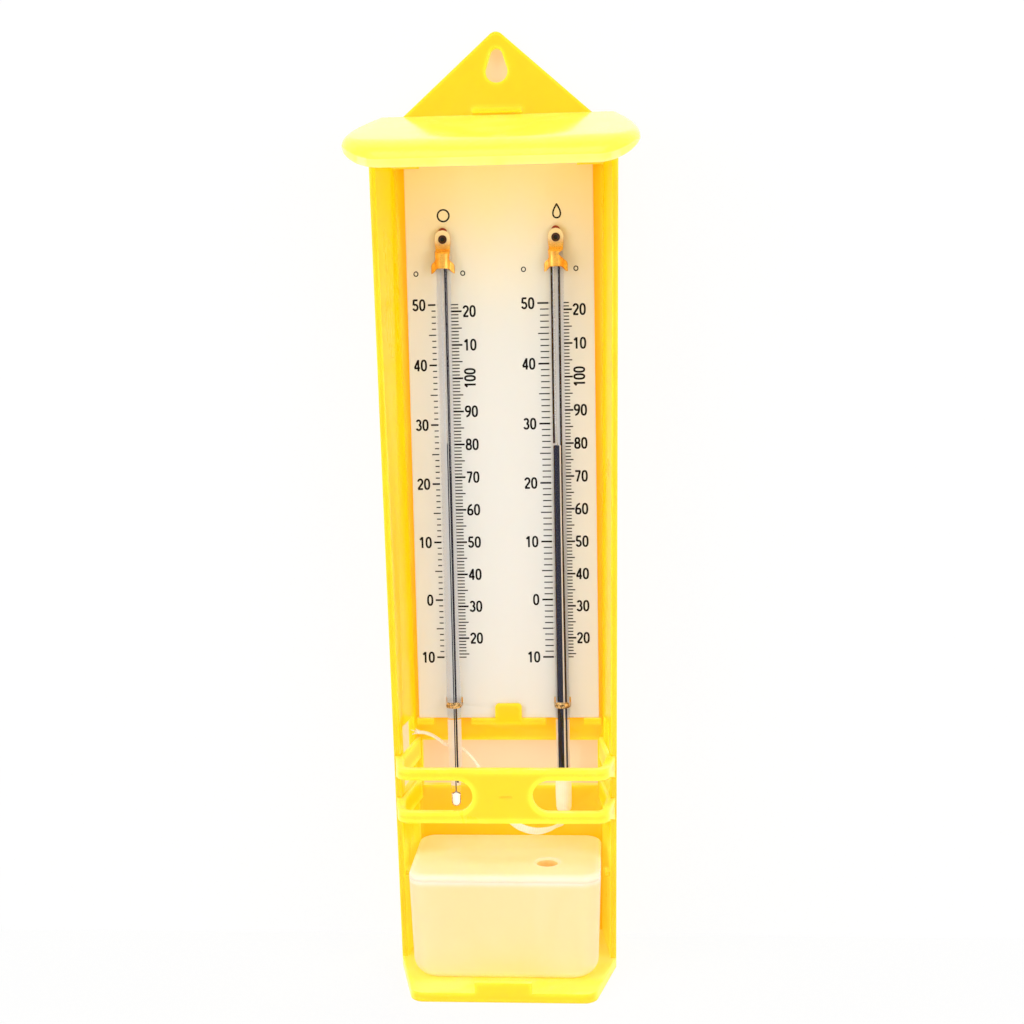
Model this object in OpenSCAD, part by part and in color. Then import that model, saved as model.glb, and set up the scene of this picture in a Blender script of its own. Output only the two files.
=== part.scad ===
// Wet and dry bulb hygrometer: a moulded wall case with a hood, a printed scale plate, two mercury
// thermometers, a cotton wick and a pull-out water reservoir.
// Millimetres. X is to the right, -Y towards the reader, Z up. Heights in the sections below are
// taken from the foot of the case. The modules then shift the model so that its origin is where a
// wall screw carries the keyhole, on the back face.

/* [Case] */
// Half width across the wall rims at the foot
case_half_foot = 38; // [37:0.5:44]
// Half width across the wall rims at the shoulder
case_half_top = 41.5; // [39:0.5:46]
// Height of the shoulder, where the gable starts
shoulder_h = 297.5; // [260:0.5:340]
// Height of the gable above the shoulder
gable_h = 27.5; // [24:0.5:40]
// Depth of the side walls, from the back face to their rims
wall_depth = 27; // [24:0.5:32]
// How much nearer the middle a wall stands at the back than at its rim
wall_lean = 3.5; // [1:0.5:4]
// Thickness of the side walls
wall_t = 2; // [1.6:0.1:2.4]
// Thickness of the back
back_t = 3; // [2.4:0.1:4]
// Half width of the gable at its base
gable_half = 32.5; // [25:0.5:36]
// Radius of the gable's tip
gable_r = 3; // [2:0.5:5]

/* [Keyhole] */
// Distance from the gable's tip down to the screw's resting place, the centre of the narrow arc
key_below_tip = 7.5; // [6:0.5:9]
// Radius of the narrow arc
key_r = 2.05; // [1.8:0.05:2.4]
// Radius of the wide arc, which the screw's head goes through
key_entry_r = 3.8; // [3.2:0.1:4.4]
// Distance between the centres of the two arcs
key_drop = 5.6; // [4.5:0.1:8]

/* [Case openings] */
// How far the window's sides are inside the line of the rims at the foot
window_inset = 6; // [5.8:0.1:12]
// Height of the window's lower edge
window_z = 58.5; // [54:0.5:60]
// Height of the window opening
window_h = 17.1; // [12:0.1:20]
// Height of the lower end of the side vents
vent_z = 62; // [58:0.5:66]
// Length of the side vents
vent_h = 24; // [16:0.5:30]
// Distance from the back face to the near edge of a vent
vent_y = 7; // [5:0.5:9]
// Width of a vent
vent_w = 15; // [8:0.5:16]

/* [Shelf] */
// Thickness of the shelf
shelf_t = 3.3; // [2.4:0.1:4]
// Depth of the shelf, from the back face to its front edge
shelf_depth = 55.5; // [52:0.5:62]
// How far the shelf's front corners are inside the line of the rims
shelf_inset = 6; // [2:0.5:8]
// Radius of the shelf's front corners
shelf_r = 5; // [3:0.5:8]
// Half width of the stop tab on the shelf's front edge
stop_half = 9.7; // [6:0.1:14]
// Height of the stop tab above the shelf
stop_h = 3.6; // [2:0.1:3.7]
// Thickness of the stop tab
stop_t = 1.7; // [1.2:0.1:2.2]
// Height of the small ribs on the walls
rib_z = 33; // [20:0.5:45]
// How far the small ribs stand out
rib_out = 1.5; // [0.8:0.1:1.8]
// Length of a small rib
rib_l = 5; // [3:0.5:8]
// Thickness of a small rib
rib_t = 1.6; // [1:0.1:2]

/* [Bulb guard] */
// Distance from the back face to the front of the guard
guard_depth = 42; // [38:0.5:46]
// Thickness of the guard's bars
bar_t = 2.5; // [2:0.1:3]
// Height of each bar at the front
bar_h = 3.8; // [3:0.1:5]
// Height of the lower bar's lower edge
low_bar_z = 57.9; // [56:0.1:60]
// Height of the upper bar's lower edge
high_bar_z = 73; // [70:0.1:75]
// Radius of the guard's front corners
guard_r = 5; // [4:0.5:8]
// How far the arms deepen downwards at the rims
arm_drop = 4.6; // [2:0.1:6]
// How far the arms rise towards the rims
arm_rise = 0.3; // [0:0.1:1]
// How far the bands inside the walls stand out
band_t = 1.2; // [0.8:0.1:1.6]
// Half width of the middle panel at its waist
panel_half = 10.2; // [6:0.1:14]

/* [Hood] */
// Wall thickness of the hood
hood_t = 2; // [1.6:0.1:2.4]
// Depth of the hood, from the back face to its front
hood_depth = 52; // [48:0.5:58]
// How far the hood reaches past the rims at its widest
hood_reach = 7; // [5:0.5:12]
// How far the hood reaches past the line of the rims at the back
hood_reach_back = 1; // [0.5:0.1:4]
// How far the hood's top falls from back to front, as a slope
hood_slope = 0.282; // [0.2:0.002:0.3]
// How far below the shoulder the hood's lower edge is at the front
hood_front_drop = 19.5; // [17:0.5:24]
// How far the hood's lower edge rises from the front to the tips
hood_tip_rise = 6.5; // [4:0.5:8]
// How far the hood's lower edge rises on from the tips to the back
hood_back_rise = 3; // [1:0.5:4]
// Length of the hood's rounded front corners, from front to back
hood_corner_l = 18; // [14:0.5:22]
// Width of the hood's rounded front corners
hood_corner_w = 14; // [10:0.5:18]
// How far the hood's front edge bows out in the middle
hood_bow = 0.6; // [0.2:0.1:2]
// Rounding along the hood's top edge at the sides
hood_edge_r = 3; // [2.5:0.1:4]
// Rounding along the hood's top edge at the front
hood_front_r = 7.5; // [4:0.1:8]
// Half width of the catch that holds the hood's back edge
catch_half = 8.6; // [5:0.1:12]
// Height of the catch
catch_h = 1.8; // [1.2:0.1:3]
// How far the catch stands out over the hood
catch_out = 3; // [2:0.1:4]

/* [Scale plate] */
// Gap between the scale plate's edges and the walls at the plate's foot
plate_side_gap = 1.25; // [0.4:0.05:3]
// Distance from the shoulder down to the top of the scale plate
plate_drop = 13.1; // [12:0.1:20]
// Thickness of the scale plate
plate_t = 1.2; // [0.8:0.1:2]
// Space behind the scale plate, where the eyelets are rolled over
plate_gap = 0.3; // [0.2:0.05:0.5]
// Height of the top of the ledges that the plate stands on
ledge_top = 84.4; // [82:0.1:86]
// Height of a ledge
ledge_h = 2.3; // [1.6:0.1:3]
// Half width of the middle ledge
ledge_half = 13.5; // [8:0.5:15]
// Width of the ledges at the corners
corner_w = 5.4; // [4:0.1:7]
// Half width of the snap tab at the foot of the plate
snap_half = 4.8; // [3:0.1:7]
// Height of the snap tab above the ledge
snap_h = 5.5; // [4:0.1:7]
// Rounding of the snap tab's corners
snap_r = 1.5; // [0.8:0.1:2]
// Thickness of the snap tab and of the corner keepers
keeper_t = 1.2; // [0.8:0.1:1.6]
// How far the corner keepers reach down over the plate
keeper_h = 4.7; // [3:0.1:7]

/* [Thermometers] */
// Distance of each thermometer from the middle
tube_x = 19.6; // [17:0.1:22]
// Radius of the stem's lens front
stem_r = 2.45; // [2.2:0.05:2.8]
// Distance from the stem's axis to its flat back
stem_flat = 1.9; // [1.5:0.05:2.1]
// Height of the stem's lower end
stem_z = 66.6; // [65.5:0.1:70]
// Distance from the top of the plate down to the stem's top
stem_drop = 33.4; // [30:0.1:40]
// Radius of the neck between stem and bulb
neck_r = 1.8; // [1.7:0.05:1.85]
// Radius of the bulb
bulb_r = 1.65; // [1.5:0.05:1.7]
// Height of the joint between neck and bulb
bulb_top = 57.7; // [56:0.1:60]
// Height of the bulb's tip
bulb_z = 51.9; // [51:0.1:54]
// Thickness of the bulb's glass
bulb_wall = 0.4; // [0.3:0.05:0.5]
// Radius of the bore in the stem
bore_r = 0.5; // [0.3:0.05:0.7]
// Height of the mark for 0 degrees Celsius
zero_z = 127.9; // [126:0.1:130]
// Height of one degree Celsius on the scale
degree_h = 2.102; // [2:0.002:2.15]
// Reading of the dry bulb thermometer in degrees Celsius
dry_reading = 27; // [0:0.5:50]
// Reading of the wet bulb thermometer in degrees Celsius
wet_reading = 26.5; // [0:0.5:50]

/* [Clips] */
// Height of the eyelets above the stem's top
eyelet_up = 4.4; // [4:0.1:6]
// Radius of an eyelet's flange
eyelet_r = 1.5; // [1.3:0.05:1.8]
// Thickness of an eyelet's flange
flange_t = 0.35; // [0.2:0.05:0.4]
// Radius of an eyelet's barrel
barrel_r = 1.05; // [0.9:0.05:1.15]
// Radius of the hole through an eyelet
eye_hole_r = 0.75; // [0.6:0.05:0.8]
// Width of a clip's tab
clip_w = 5.5; // [4.5:0.1:6]
// Thickness of the clips' brass sheet
sheet_t = 0.4; // [0.3:0.05:0.5]
// Distance from the stem's top down to a clip's lower edge
clip_drop = 7.3; // [6.5:0.1:10]
// Height of a clip's tab above the eyelet's centre
tab_up = 3.2; // [2.8:0.1:4]
// Height of a clip's saddle on the stem
saddle_h = 2.8; // [2.2:0.1:4]
// Half width across a clip's ears
ear_half = 4.1; // [3.6:0.1:4.5]
// Thickness of the fibre pad behind a clip
pad_t = 1.5; // [1:0.1:2]
// Width of the fibre pad
pad_w = 3; // [2.6:0.1:4]
// How far the pad shows above the clip's tab
pad_up = 0.8; // [0.4:0.1:1.2]
// Height of the lower edge of the clamps near the foot of the plate
clamp_z = 89; // [87:0.5:94]
// Height of a clamp
clamp_h = 3; // [2:0.1:4]

/* [Wick] */
// Outer radius of the wick's sleeve
sleeve_r = 2.8; // [2.5:0.05:3]
// Height of the sleeve's top
sleeve_top = 65; // [63:0.1:65.5]
// Height of the sleeve's closed end
sleeve_z = 50.7; // [50.5:0.1:50.9]
// Width of the wick's loose tail
tail_d = 3; // [2:0.1:3.2]

/* [Reservoir] */
// How far the reservoir's sides are inside the line of the rims at the foot
tank_inset = 5; // [4.9:0.1:8]
// How much narrower a side of the reservoir is at its foot
tank_draft = 1; // [0.6:0.1:2]
// Depth of the reservoir from front to back
tank_depth = 41; // [36:0.5:42]
// Space between the reservoir and the back of the case
tank_gap = 1; // [0.6:0.1:1.5]
// Height of the open box without its lid
tank_h = 34.8; // [30:0.1:35]
// Wall thickness of the reservoir
tank_t = 1.2; // [1:0.1:2]
// Radius of the reservoir's corners and lower edges
tank_r = 6; // [5.6:0.1:8]
// Thickness of the lid
lid_t = 2.2; // [1.6:0.1:2.3]
// Depth of the lid's rim inside the box
lid_rim_h = 3; // [2:0.1:5]
// Rounding of the lid's upper edge
lid_edge_r = 1.4; // [0.8:0.1:1.6]
// Distance of the wick hole from the middle
wick_hole_x = 14.4; // [10:0.1:20]
// Distance of the wick hole from the back face
wick_hole_y = 31.5; // [26:0.5:34]
// Radius of the wick hole
wick_hole_r = 3.15; // [2.6:0.05:3.6]
// Radius of the dished mouth around the wick hole
wick_mouth_r = 4.3; // [3.8:0.1:5]
// Depth of the dished mouth
wick_mouth_h = 1.5; // [0.8:0.1:1.5]

/* [Fits] */
// Play around pieces that pass through others
play = 0.05; // [0.02:0.01:0.1]
// Gap between a stem or keeper and the scale plate
seat_gap = 0.3; // [0.1:0.05:0.4]
// Gap between the lid's rim and the inside of the box
lid_gap = 0.3; // [0.2:0.05:0.4]

/* [Hidden] */

YELLOW = [1, 0.8, 0.02];
CREAM = [0.99, 0.9, 0.75];
GLASS = [0.85, 0.88, 0.95, 0.4];
QUICKSILVER = [0.12, 0.1, 0.25];
BRASS = [0.8, 0.55, 0.2];
FIBRE = [0.55, 0.15, 0.1];
COTTON = [0.95, 0.93, 0.85];
POLYTHENE = [0.95, 0.9, 0.78, 0.8];

EPS = 0.01;
BIG = 10 * shoulder_h;
case_h = shoulder_h + gable_h;
hang_h = case_h - key_below_tip;

// The planes of the side walls
wall_foot_half = case_half_foot - wall_lean;
wall_turn = atan(wall_lean / wall_depth);
wall_tilt = atan((case_half_top - case_half_foot) / shoulder_h);
window_half = case_half_foot - window_inset;
shelf_half = case_half_foot - shelf_inset;
wall_run = wall_depth / cos(wall_turn);

// Layers in front of the back, as distances from the back face
plate_back = back_t + plate_gap;
plate_front = plate_back + plate_t;
tube_y = plate_front + seat_gap + stem_flat;
keeper_back = plate_front + 0.1;
plate_half = wall_foot_half - wall_t / cos(wall_turn) + ledge_top * tan(wall_tilt)
    + plate_back * tan(wall_turn) - plate_side_gap;
plate_top = shoulder_h - plate_drop;
stem_top = plate_top - stem_drop;
eyelet_z = stem_top + eyelet_up;
clip_z = stem_top - clip_drop;

// The roof of the hood: its height at a distance y from the back face
function hood_top(y) = shoulder_h - hood_slope * (y - back_t);
hood_angle = atan(hood_slope);
hood_half = case_half_top + hood_reach;
hood_half_back = case_half_top + hood_reach_back;
hood_front_z = shoulder_h - hood_front_drop;
hood_side_z = hood_front_z + hood_tip_rise;
hood_back_z = hood_side_z + hood_back_rise;
catch_z = shoulder_h + seat_gap;

// The reservoir, standing on the shelf
tank_half = case_half_foot - tank_inset;
tank_back = back_t + tank_gap;
tank_front = tank_back + tank_depth;
tank_z = shelf_t;
tank_top = tank_z + tank_h;
lid_top = tank_top + lid_t;

arm_t = wall_t + band_t;
guard_corner_x = case_half_foot - 1.3 * guard_r;
clip_tab_top = eyelet_z + tab_up;
clip_bend_z = stem_top + sheet_t;
sheet_back = plate_front + pad_t;
saddle_r = stem_r + play;

// The route of the wick's tail: down from the sleeve, forward in a loop, then up and back behind the
// dry thermometer to the vent on the left
TAIL_ROUTE = [[19.6, -6.7, 50.7], [19.4, -7.4, 48.9], [18.8, -9, 47.4], [17.6, -11.8, 46.7],
    [15.6, -15.4, 46.7], [13, -18.6, 47], [10, -20.4, 47.4], [6.6, -20.8, 48.2], [3.2, -20, 49.5],
    [0, -18, 51.6], [-3, -15, 54.8], [-5.8, -11.6, 58.5], [-8.4, -8.6, 62.4], [-10.8, -6.4, 65.8],
    [-13.4, -4.6, 68.8], [-16.2, -3.3, 71.4], [-19, -2.8, 73], [-21.6, -3, 73.6],
    [-23.6, -4, 74.4], [-25.4, -5.1, 76.2], [-27.8, -5.8, 78.1], [-30.4, -6.8, 79.4],
    [-32.8, -8, 80]];

// Shifts a model measured from the foot so that the keyhole's narrow arc is at height 0
module from_foot() {
    translate([0, 0, -hang_h])
        children();
}

// Draws the children on the right, and mirrored on the left
module both_sides() {
    children();
    mirror([1, 0, 0])
        children();
}

// The frame of the right wall: its outer face is the plane x = 0, and y runs along the wall
module wall_frame() {
    translate([wall_foot_half, 0, 0])
        rotate([0, wall_tilt, 0])
        rotate([0, 0, wall_turn])
        children();
}

// Raises an outline drawn in x and height into a slab of thickness t behind distance y
module upright(y, t) {
    translate([0, -y, 0])
        rotate([90, 0, 0])
        linear_extrude(t)
        children();
}

// A box from half width, distances y0 to y1 from the back face, and heights z0 to z1
module block(half, y0, y1, z0, z1) {
    translate([-half, -y1, z0])
        cube([2 * half, y1 - y0, z1 - z0]);
}

// The back with its gable: the gable's sides are tangent to its round tip
module back_outline() {
    tip = case_h - gable_r;
    reach = norm([gable_half, tip - shoulder_h]);
    lean = atan2(tip - shoulder_h, gable_half) + asin(gable_r / reach);
    touch = gable_r * [sin(lean), cos(lean)];
    polygon([[wall_foot_half, 0], [wall_foot_half + shoulder_h * tan(wall_tilt), shoulder_h],
        [gable_half, shoulder_h], [touch.x, tip + touch.y], [-touch.x, tip + touch.y],
        [-gable_half, shoulder_h], [-wall_foot_half - shoulder_h * tan(wall_tilt), shoulder_h],
        [-wall_foot_half, 0]]);
    translate([0, tip])
        circle(gable_r, $fn = 48);
}

// Two arcs joined by their common tangents
module keyhole_outline() {
    low = hang_h - key_drop;
    tilt = asin((key_entry_r - key_r) / key_drop);
    side = [cos(tilt), sin(tilt)];
    translate([0, hang_h])
        circle(key_r, $fn = 48);
    translate([0, low])
        circle(key_entry_r, $fn = 48);
    polygon([[key_r * side.x, hang_h + key_r * side.y], [-key_r * side.x, hang_h + key_r * side.y],
        [-key_entry_r * side.x, low + key_entry_r * side.y],
        [key_entry_r * side.x, low + key_entry_r * side.y]]);
}

// The right wall with its vent and rib, cut off under the hood's roof
module side_wall() {
    difference() {
        wall_frame()
            translate([-wall_t, -wall_run, -shelf_t])
            cube([wall_t, wall_run, shoulder_h + 2 * shelf_t]);
        translate([-BIG, -BIG / 2, -BIG])
            cube([2 * BIG, BIG, BIG]);
        translate([-BIG / 2, -back_t, shoulder_h - hood_t])
            rotate([hood_angle, 0, 0])
            translate([0, -BIG / 2, 0])
            cube([BIG, BIG, BIG]);
        translate([wall_foot_half - 3 * wall_t, -vent_y - vent_w, vent_z])
            cube([10 * wall_t, vent_w, vent_h]);
    }
    wall_frame()
        translate([-wall_t - rib_out, -wall_run + rib_t, rib_z])
        cube([rib_out + wall_t / 2, rib_l, rib_t]);
}

module shelf_outline() {
    hull() {
        polygon([[-wall_foot_half, 0], [wall_foot_half, 0], [case_half_foot, -wall_depth],
            [-case_half_foot, -wall_depth]]);
        both_sides()
            translate([shelf_half - shelf_r, shelf_r - shelf_depth])
            circle(shelf_r, $fn = 48);
    }
}

// The ledges that carry the scale plate, the snap tab at its foot and the keepers at its corners
module plate_holders() {
    block(ledge_half, back_t - EPS, plate_front + keeper_t, ledge_top - ledge_h, ledge_top);
    block(snap_half, back_t - EPS, keeper_back + keeper_t, ledge_top - ledge_h, ledge_top);
    upright(keeper_back, keeper_t) {
        translate([-snap_half, ledge_top - ledge_h])
            square([2 * snap_half, ledge_h + snap_h - snap_r]);
        translate([snap_r - snap_half, ledge_top])
            square([2 * (snap_half - snap_r), snap_h]);
        both_sides()
            translate([snap_half - snap_r, ledge_top + snap_h - snap_r])
            circle(snap_r, $fn = 32);
    }
    both_sides() {
        translate([plate_half - corner_w, -plate_front - keeper_t, ledge_top - ledge_h])
            cube([case_half_foot - wall_lean - plate_half + corner_w - wall_t / 2,
                plate_front + keeper_t - back_t + EPS, ledge_h]);
        translate([plate_half - corner_w, -keeper_back - keeper_t, plate_top - keeper_h])
            cube([case_half_top - wall_lean - plate_half + corner_w - wall_t / 2,
                keeper_t, keeper_h + keeper_t]);
    }
}

module case_body() {
    color(YELLOW)
    from_foot() {
        difference() {
            upright(0, back_t)
                back_outline();
            upright(-1, back_t + 2)
                keyhole_outline();
            block(window_half, -1, back_t + 1, window_z, window_z + window_h);
        }
        both_sides()
            side_wall();
        linear_extrude(shelf_t)
            shelf_outline();
        block(stop_half, shelf_depth - stop_t, shelf_depth, 0, shelf_t + stop_h);
        plate_holders();
        block(catch_half, back_t - EPS, back_t + catch_out, catch_z, catch_z + catch_h);
    }
}

// The plan of the guard's outer or inner face: straight arms and rounded front corners
module guard_plan(inset, rim_half) {
    hull() {
        both_sides()
            translate([guard_corner_x, guard_r - guard_depth])
            circle(guard_r - inset, $fn = 48);
        polygon([[rim_half, bar_t - wall_depth], [-rim_half, bar_t - wall_depth], [0, -wall_depth - bar_t]]);
    }
}

// One rail, level in front and deeper along the arms. The arms' outer face stays on the rims' line.
module guard_rail(z) {
    rim = wall_foot_half + wall_lean + (z + bar_h / 2) * tan(wall_tilt);
    intersection() {
        translate([0, 0, z - 2 * arm_drop])
            linear_extrude(2 * (bar_h + arm_drop))
            difference() {
                guard_plan(0, rim);
                guard_plan(bar_t, rim - arm_t);
            }
        rotate([90, 0, 90])
            linear_extrude(2 * BIG, center = true)
            polygon([[-guard_depth, z], [-guard_depth, z + bar_h], [bar_t - wall_depth, z + bar_h + arm_rise],
                [bar_t - wall_depth, z - arm_drop], [guard_r - guard_depth, z]]);
    }
}

// The band that carries a rail on along the inside of the right wall
module guard_band(z) {
    wall_frame()
        translate([-arm_t, -wall_run - band_t / 2, z - arm_drop + band_t / 2])
        cube([band_t, wall_run, bar_h + arm_drop - band_t / 2]);
}

module bulb_guard() {
    gap = high_bar_z - low_bar_z - bar_h;
    middle = low_bar_z + bar_h + gap / 2;
    color(YELLOW)
    from_foot() {
        difference() {
            for (z = [low_bar_z, high_bar_z])
                guard_rail(z);
            both_sides()
                wall_frame()
                translate([-2 * arm_t, -wall_run, 0])
                cube([4 * arm_t, wall_run, BIG]);
        }
        difference() {
            both_sides()
                for (z = [low_bar_z, high_bar_z])
                    guard_band(z);
            translate([-BIG / 2, -back_t, 0])
                cube([BIG, BIG, BIG]);
        }
        difference() {
            block(panel_half + gap / 2, guard_depth - bar_t, guard_depth,
                low_bar_z + bar_h / 2, high_bar_z + bar_h / 2);
            both_sides()
                translate([panel_half + gap / 2, 0, middle])
                rotate([90, 0, 0])
                cylinder(h = BIG, r = gap / 2, $fn = 64);
        }
    }
}

// A point and its outward direction on the hood's right half, seen in plan, from back to front
function curve(p, u) = pow(1 - u, 3) * p[0] + 3 * pow(1 - u, 2) * u * p[1]
    + 3 * (1 - u) * u * u * p[2] + pow(u, 3) * p[3];
function heading(p, u) = pow(1 - u, 2) * (p[1] - p[0]) + 2 * (1 - u) * u * (p[2] - p[1])
    + u * u * (p[3] - p[2]);
function outward(v) = [-v.y, v.x] / norm(v);
hood_side_l = hood_depth - back_t - hood_corner_l;
hood_swell = hood_half - hood_half_back;
HOOD_START = [hood_half_back, -back_t];
HOOD_TIP = [hood_half, hood_corner_l - hood_depth];
HOOD_TURN = [hood_half - hood_corner_w, hood_bow - hood_depth];
HOOD_EASE = [0.65 * hood_corner_w, hood_bow];
HOOD_SIDE = [HOOD_START, HOOD_START + [0.4 * hood_swell, -0.25 * hood_side_l],
    HOOD_TIP + [0, 0.4 * hood_side_l], HOOD_TIP];
HOOD_CORNER = [HOOD_TIP, HOOD_TIP - [0, 0.55 * hood_corner_l], HOOD_TURN + HOOD_EASE, HOOD_TURN];
HOOD_FRONT = [HOOD_TURN, HOOD_TURN - HOOD_EASE, [hood_corner_w, -hood_depth], [0, -hood_depth]];
function piece_at(s) = s < 1 ? HOOD_SIDE : (s < 2 ? HOOD_CORNER : HOOD_FRONT);
HALF_STEPS = [for (i = [0 : 8]) i / 8, for (i = [1 : 10]) 1 + i / 10, for (i = [1 : 5]) 2 + i / 5];
function station(s) = let (p = piece_at(s), u = s - min(2, floor(s)))
    [curve(p, u), s == 0 ? [1, 0] : outward(heading(p, u)), s];
RIGHT_STATIONS = [for (s = HALF_STEPS) station(s)];
LAST = len(HALF_STEPS) - 1;
HOOD_STATIONS = [for (t = RIGHT_STATIONS) t,
    for (i = [LAST - 1 : -1 : 0]) [[-RIGHT_STATIONS[i][0].x, RIGHT_STATIONS[i][0].y],
        [-RIGHT_STATIONS[i][1].x, RIGHT_STATIONS[i][1].y], RIGHT_STATIONS[i][2]]];

// The rounding grows from the sides to the front, and the lower edge rises from the front to the tips
function ease(u) = u * u * (3 - 2 * u);
function edge_r(s) = hood_edge_r + (hood_front_r - hood_edge_r) * ease(min(1, max(0, s - 1)));
function lower_edge(s, y) = s < 1 ? hood_side_z + (hood_back_z - hood_side_z) * (1 - s)
    : hood_front_z + (hood_side_z - hood_front_z) * ease(max(0, 2 - s));

// One column of the hood's skin, from the roof's edge round to the lower rim, set in by t
EDGE_STEPS = 6;
function skin(t, st) = let (r = edge_r(st[2]) - t)
    [for (j = [0 : EDGE_STEPS]) let (a = 90 * j / EDGE_STEPS, q = st[0] - (t + r * (1 - sin(a))) * st[1])
            [q.x, q.y, hood_top(-q.y) - t - r * (1 - cos(a))],
        let (q = st[0] - t * st[1]) [q.x, q.y, lower_edge(st[2], q.y)]];

// A thin shell under the sloping roof, open below and behind
module roof_hood() {
    n = len(HOOD_STATIONS);
    rows = EDGE_STEPS + 2;
    outer = [for (st = HOOD_STATIONS) each skin(0, st)];
    inner = [for (st = HOOD_STATIONS) each skin(hood_t, st)];
    apex = [[0, -back_t, shoulder_h], [0, -back_t, shoulder_h - hood_t]];
    shift = n * rows;
    top = 2 * shift;
    color(YELLOW)
    from_foot()
        polyhedron(points = concat(outer, inner, apex), faces = concat(
            [for (i = [0 : n - 2], j = [0 : rows - 2])
                each [[i * rows + j, (i + 1) * rows + j, (i + 1) * rows + j + 1],
                    [i * rows + j, (i + 1) * rows + j + 1, i * rows + j + 1]]],
            [for (i = [0 : n - 2], j = [0 : rows - 2]) let (k = shift + i * rows + j)
                each [[k, k + rows + 1, k + rows], [k, k + 1, k + rows + 1]]],
            [for (i = [0 : n - 2]) [top, (i + 1) * rows, i * rows]],
            [for (i = [0 : n - 2]) [top + 1, shift + i * rows, shift + (i + 1) * rows]],
            [for (i = [0 : n - 2]) let (a = i * rows + rows - 1, b = a + rows)
                each [[a, b, b + shift], [a, b + shift, a + shift]]],
            [for (j = [0 : rows - 2]) each [[j, j + 1, j + 1 + shift], [j, j + 1 + shift, j + shift]]],
            [for (j = [0 : rows - 2]) let (k = (n - 1) * rows + j)
                each [[k, k + shift + 1, k + 1], [k, k + shift, k + shift + 1]]],
            [[top, 0, shift], [top, shift, top + 1],
                [top, top + 1, (n - 1) * rows + shift], [top, (n - 1) * rows + shift, (n - 1) * rows]]));
}

// Holes for the eyelets' barrels, drawn from front to back at both thermometers
module eyelet_holes() {
    both_sides()
        translate([tube_x, 0, eyelet_z])
        rotate([90, 0, 0])
        cylinder(h = 2 * plate_front, r = barrel_r + play, $fn = 48);
}

module scale_plate() {
    color(CREAM)
    from_foot()
        difference() {
            block(plate_half, plate_back, plate_front, ledge_top, plate_top);
            eyelet_holes();
            both_sides()
                for (side = [-1, 1])
                    translate([tube_x + side * (saddle_r + sheet_t / 2), -plate_front, clamp_z + clamp_h / 2])
                    cube([sheet_t + 2 * play, 4 * plate_t, clamp_h + 2 * play], center = true);
        }
}

// A stem with a lens front and a flat back, sealed at the top, with a neck and a bulb below
module stem(x) {
    color(GLASS)
    from_foot()
        translate([x, -tube_y, 0])
        difference() {
            union() {
                intersection() {
                    translate([0, 0, stem_z])
                        cylinder(h = stem_top - stem_z, r = stem_r, $fn = 64);
                    translate([-2 * stem_r, -2 * stem_r, 0])
                        cube([4 * stem_r, 2 * stem_r + stem_flat, BIG]);
                }
                translate([0, 0, bulb_top])
                    cylinder(h = stem_z - bulb_top + neck_r, r = neck_r, $fn = 48);
                translate([0, 0, bulb_z + bulb_r])
                    cylinder(h = bulb_top - bulb_z - bulb_r + bulb_wall, r = bulb_r, $fn = 48);
                translate([0, 0, bulb_z + bulb_r])
                    sphere(bulb_r, $fn = 48);
            }
            cavity(bore_r, bulb_r - bulb_wall, stem_top - stem_r);
        }
}

// The space inside a thermometer: a bulb of radius r, and a bore up to height z
module cavity(bore, r, z) {
    translate([0, 0, bulb_z + bulb_r])
        sphere(r, $fn = 48);
    translate([0, 0, bulb_z + bulb_r])
        cylinder(h = bulb_top - bulb_z - bulb_r - bulb_wall, r = r, $fn = 48);
    translate([0, 0, bulb_z + bulb_r])
        cylinder(h = z - bulb_z - bulb_r, r = bore, $fn = 32);
}

// Mercury filling the bulb and the bore up to the reading
module mercury(x, reading) {
    color(QUICKSILVER)
    from_foot()
        translate([x, -tube_y, 0])
        cavity(bore_r - play, bulb_r - bulb_wall - play, zero_z + degree_h * reading);
}

// Sheet brass: a tab on the pad, a step forward over the stem's top and a saddle round its front
module top_clip(x) {
    front = tube_y + saddle_r;
    step_z = clip_z + saddle_h;
    color(BRASS)
    from_foot()
        translate([x, 0, 0]) {
            difference() {
                upright(sheet_back, sheet_t) {
                    translate([-clip_w / 2, clip_bend_z])
                        square([clip_w, clip_tab_top - clip_bend_z - clip_w / 2]);
                    translate([0, clip_tab_top - clip_w / 2])
                        circle(clip_w / 2, $fn = 48);
                }
                translate([0, 0, eyelet_z])
                    rotate([90, 0, 0])
                    cylinder(h = 2 * sheet_back, r = barrel_r + play, $fn = 48);
            }
            translate([-clip_w / 2, 0, 0])
                rotate([90, 0, 90])
                linear_extrude(clip_w)
                polygon([[-sheet_back, clip_bend_z + 2 * sheet_t],
                    [-sheet_back - sheet_t, clip_bend_z + 2 * sheet_t],
                    [-front - sheet_t, stem_top + sheet_t], [-front - sheet_t, step_z - sheet_t],
                    [-front, step_z - sheet_t], [-front, stem_top + play], [-sheet_back, clip_bend_z]]);
            intersection() {
                translate([0, -tube_y, clip_z])
                    difference() {
                        cylinder(h = saddle_h, r = saddle_r + sheet_t, $fn = 64);
                        translate([0, 0, -1])
                            cylinder(h = saddle_h + 2, r = saddle_r, $fn = 64);
                    }
                translate([-2 * stem_r, -tube_y - 2 * stem_r, 0])
                    cube([4 * stem_r, 2 * stem_r + EPS, BIG]);
            }
            both_sides() {
                translate([saddle_r, -tube_y, clip_z])
                    cube([sheet_t, tube_y - plate_front, saddle_h]);
                translate([saddle_r, -tube_y - sheet_t, clip_z])
                    cube([ear_half - saddle_r, sheet_t, saddle_h]);
            }
        }
}

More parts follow.
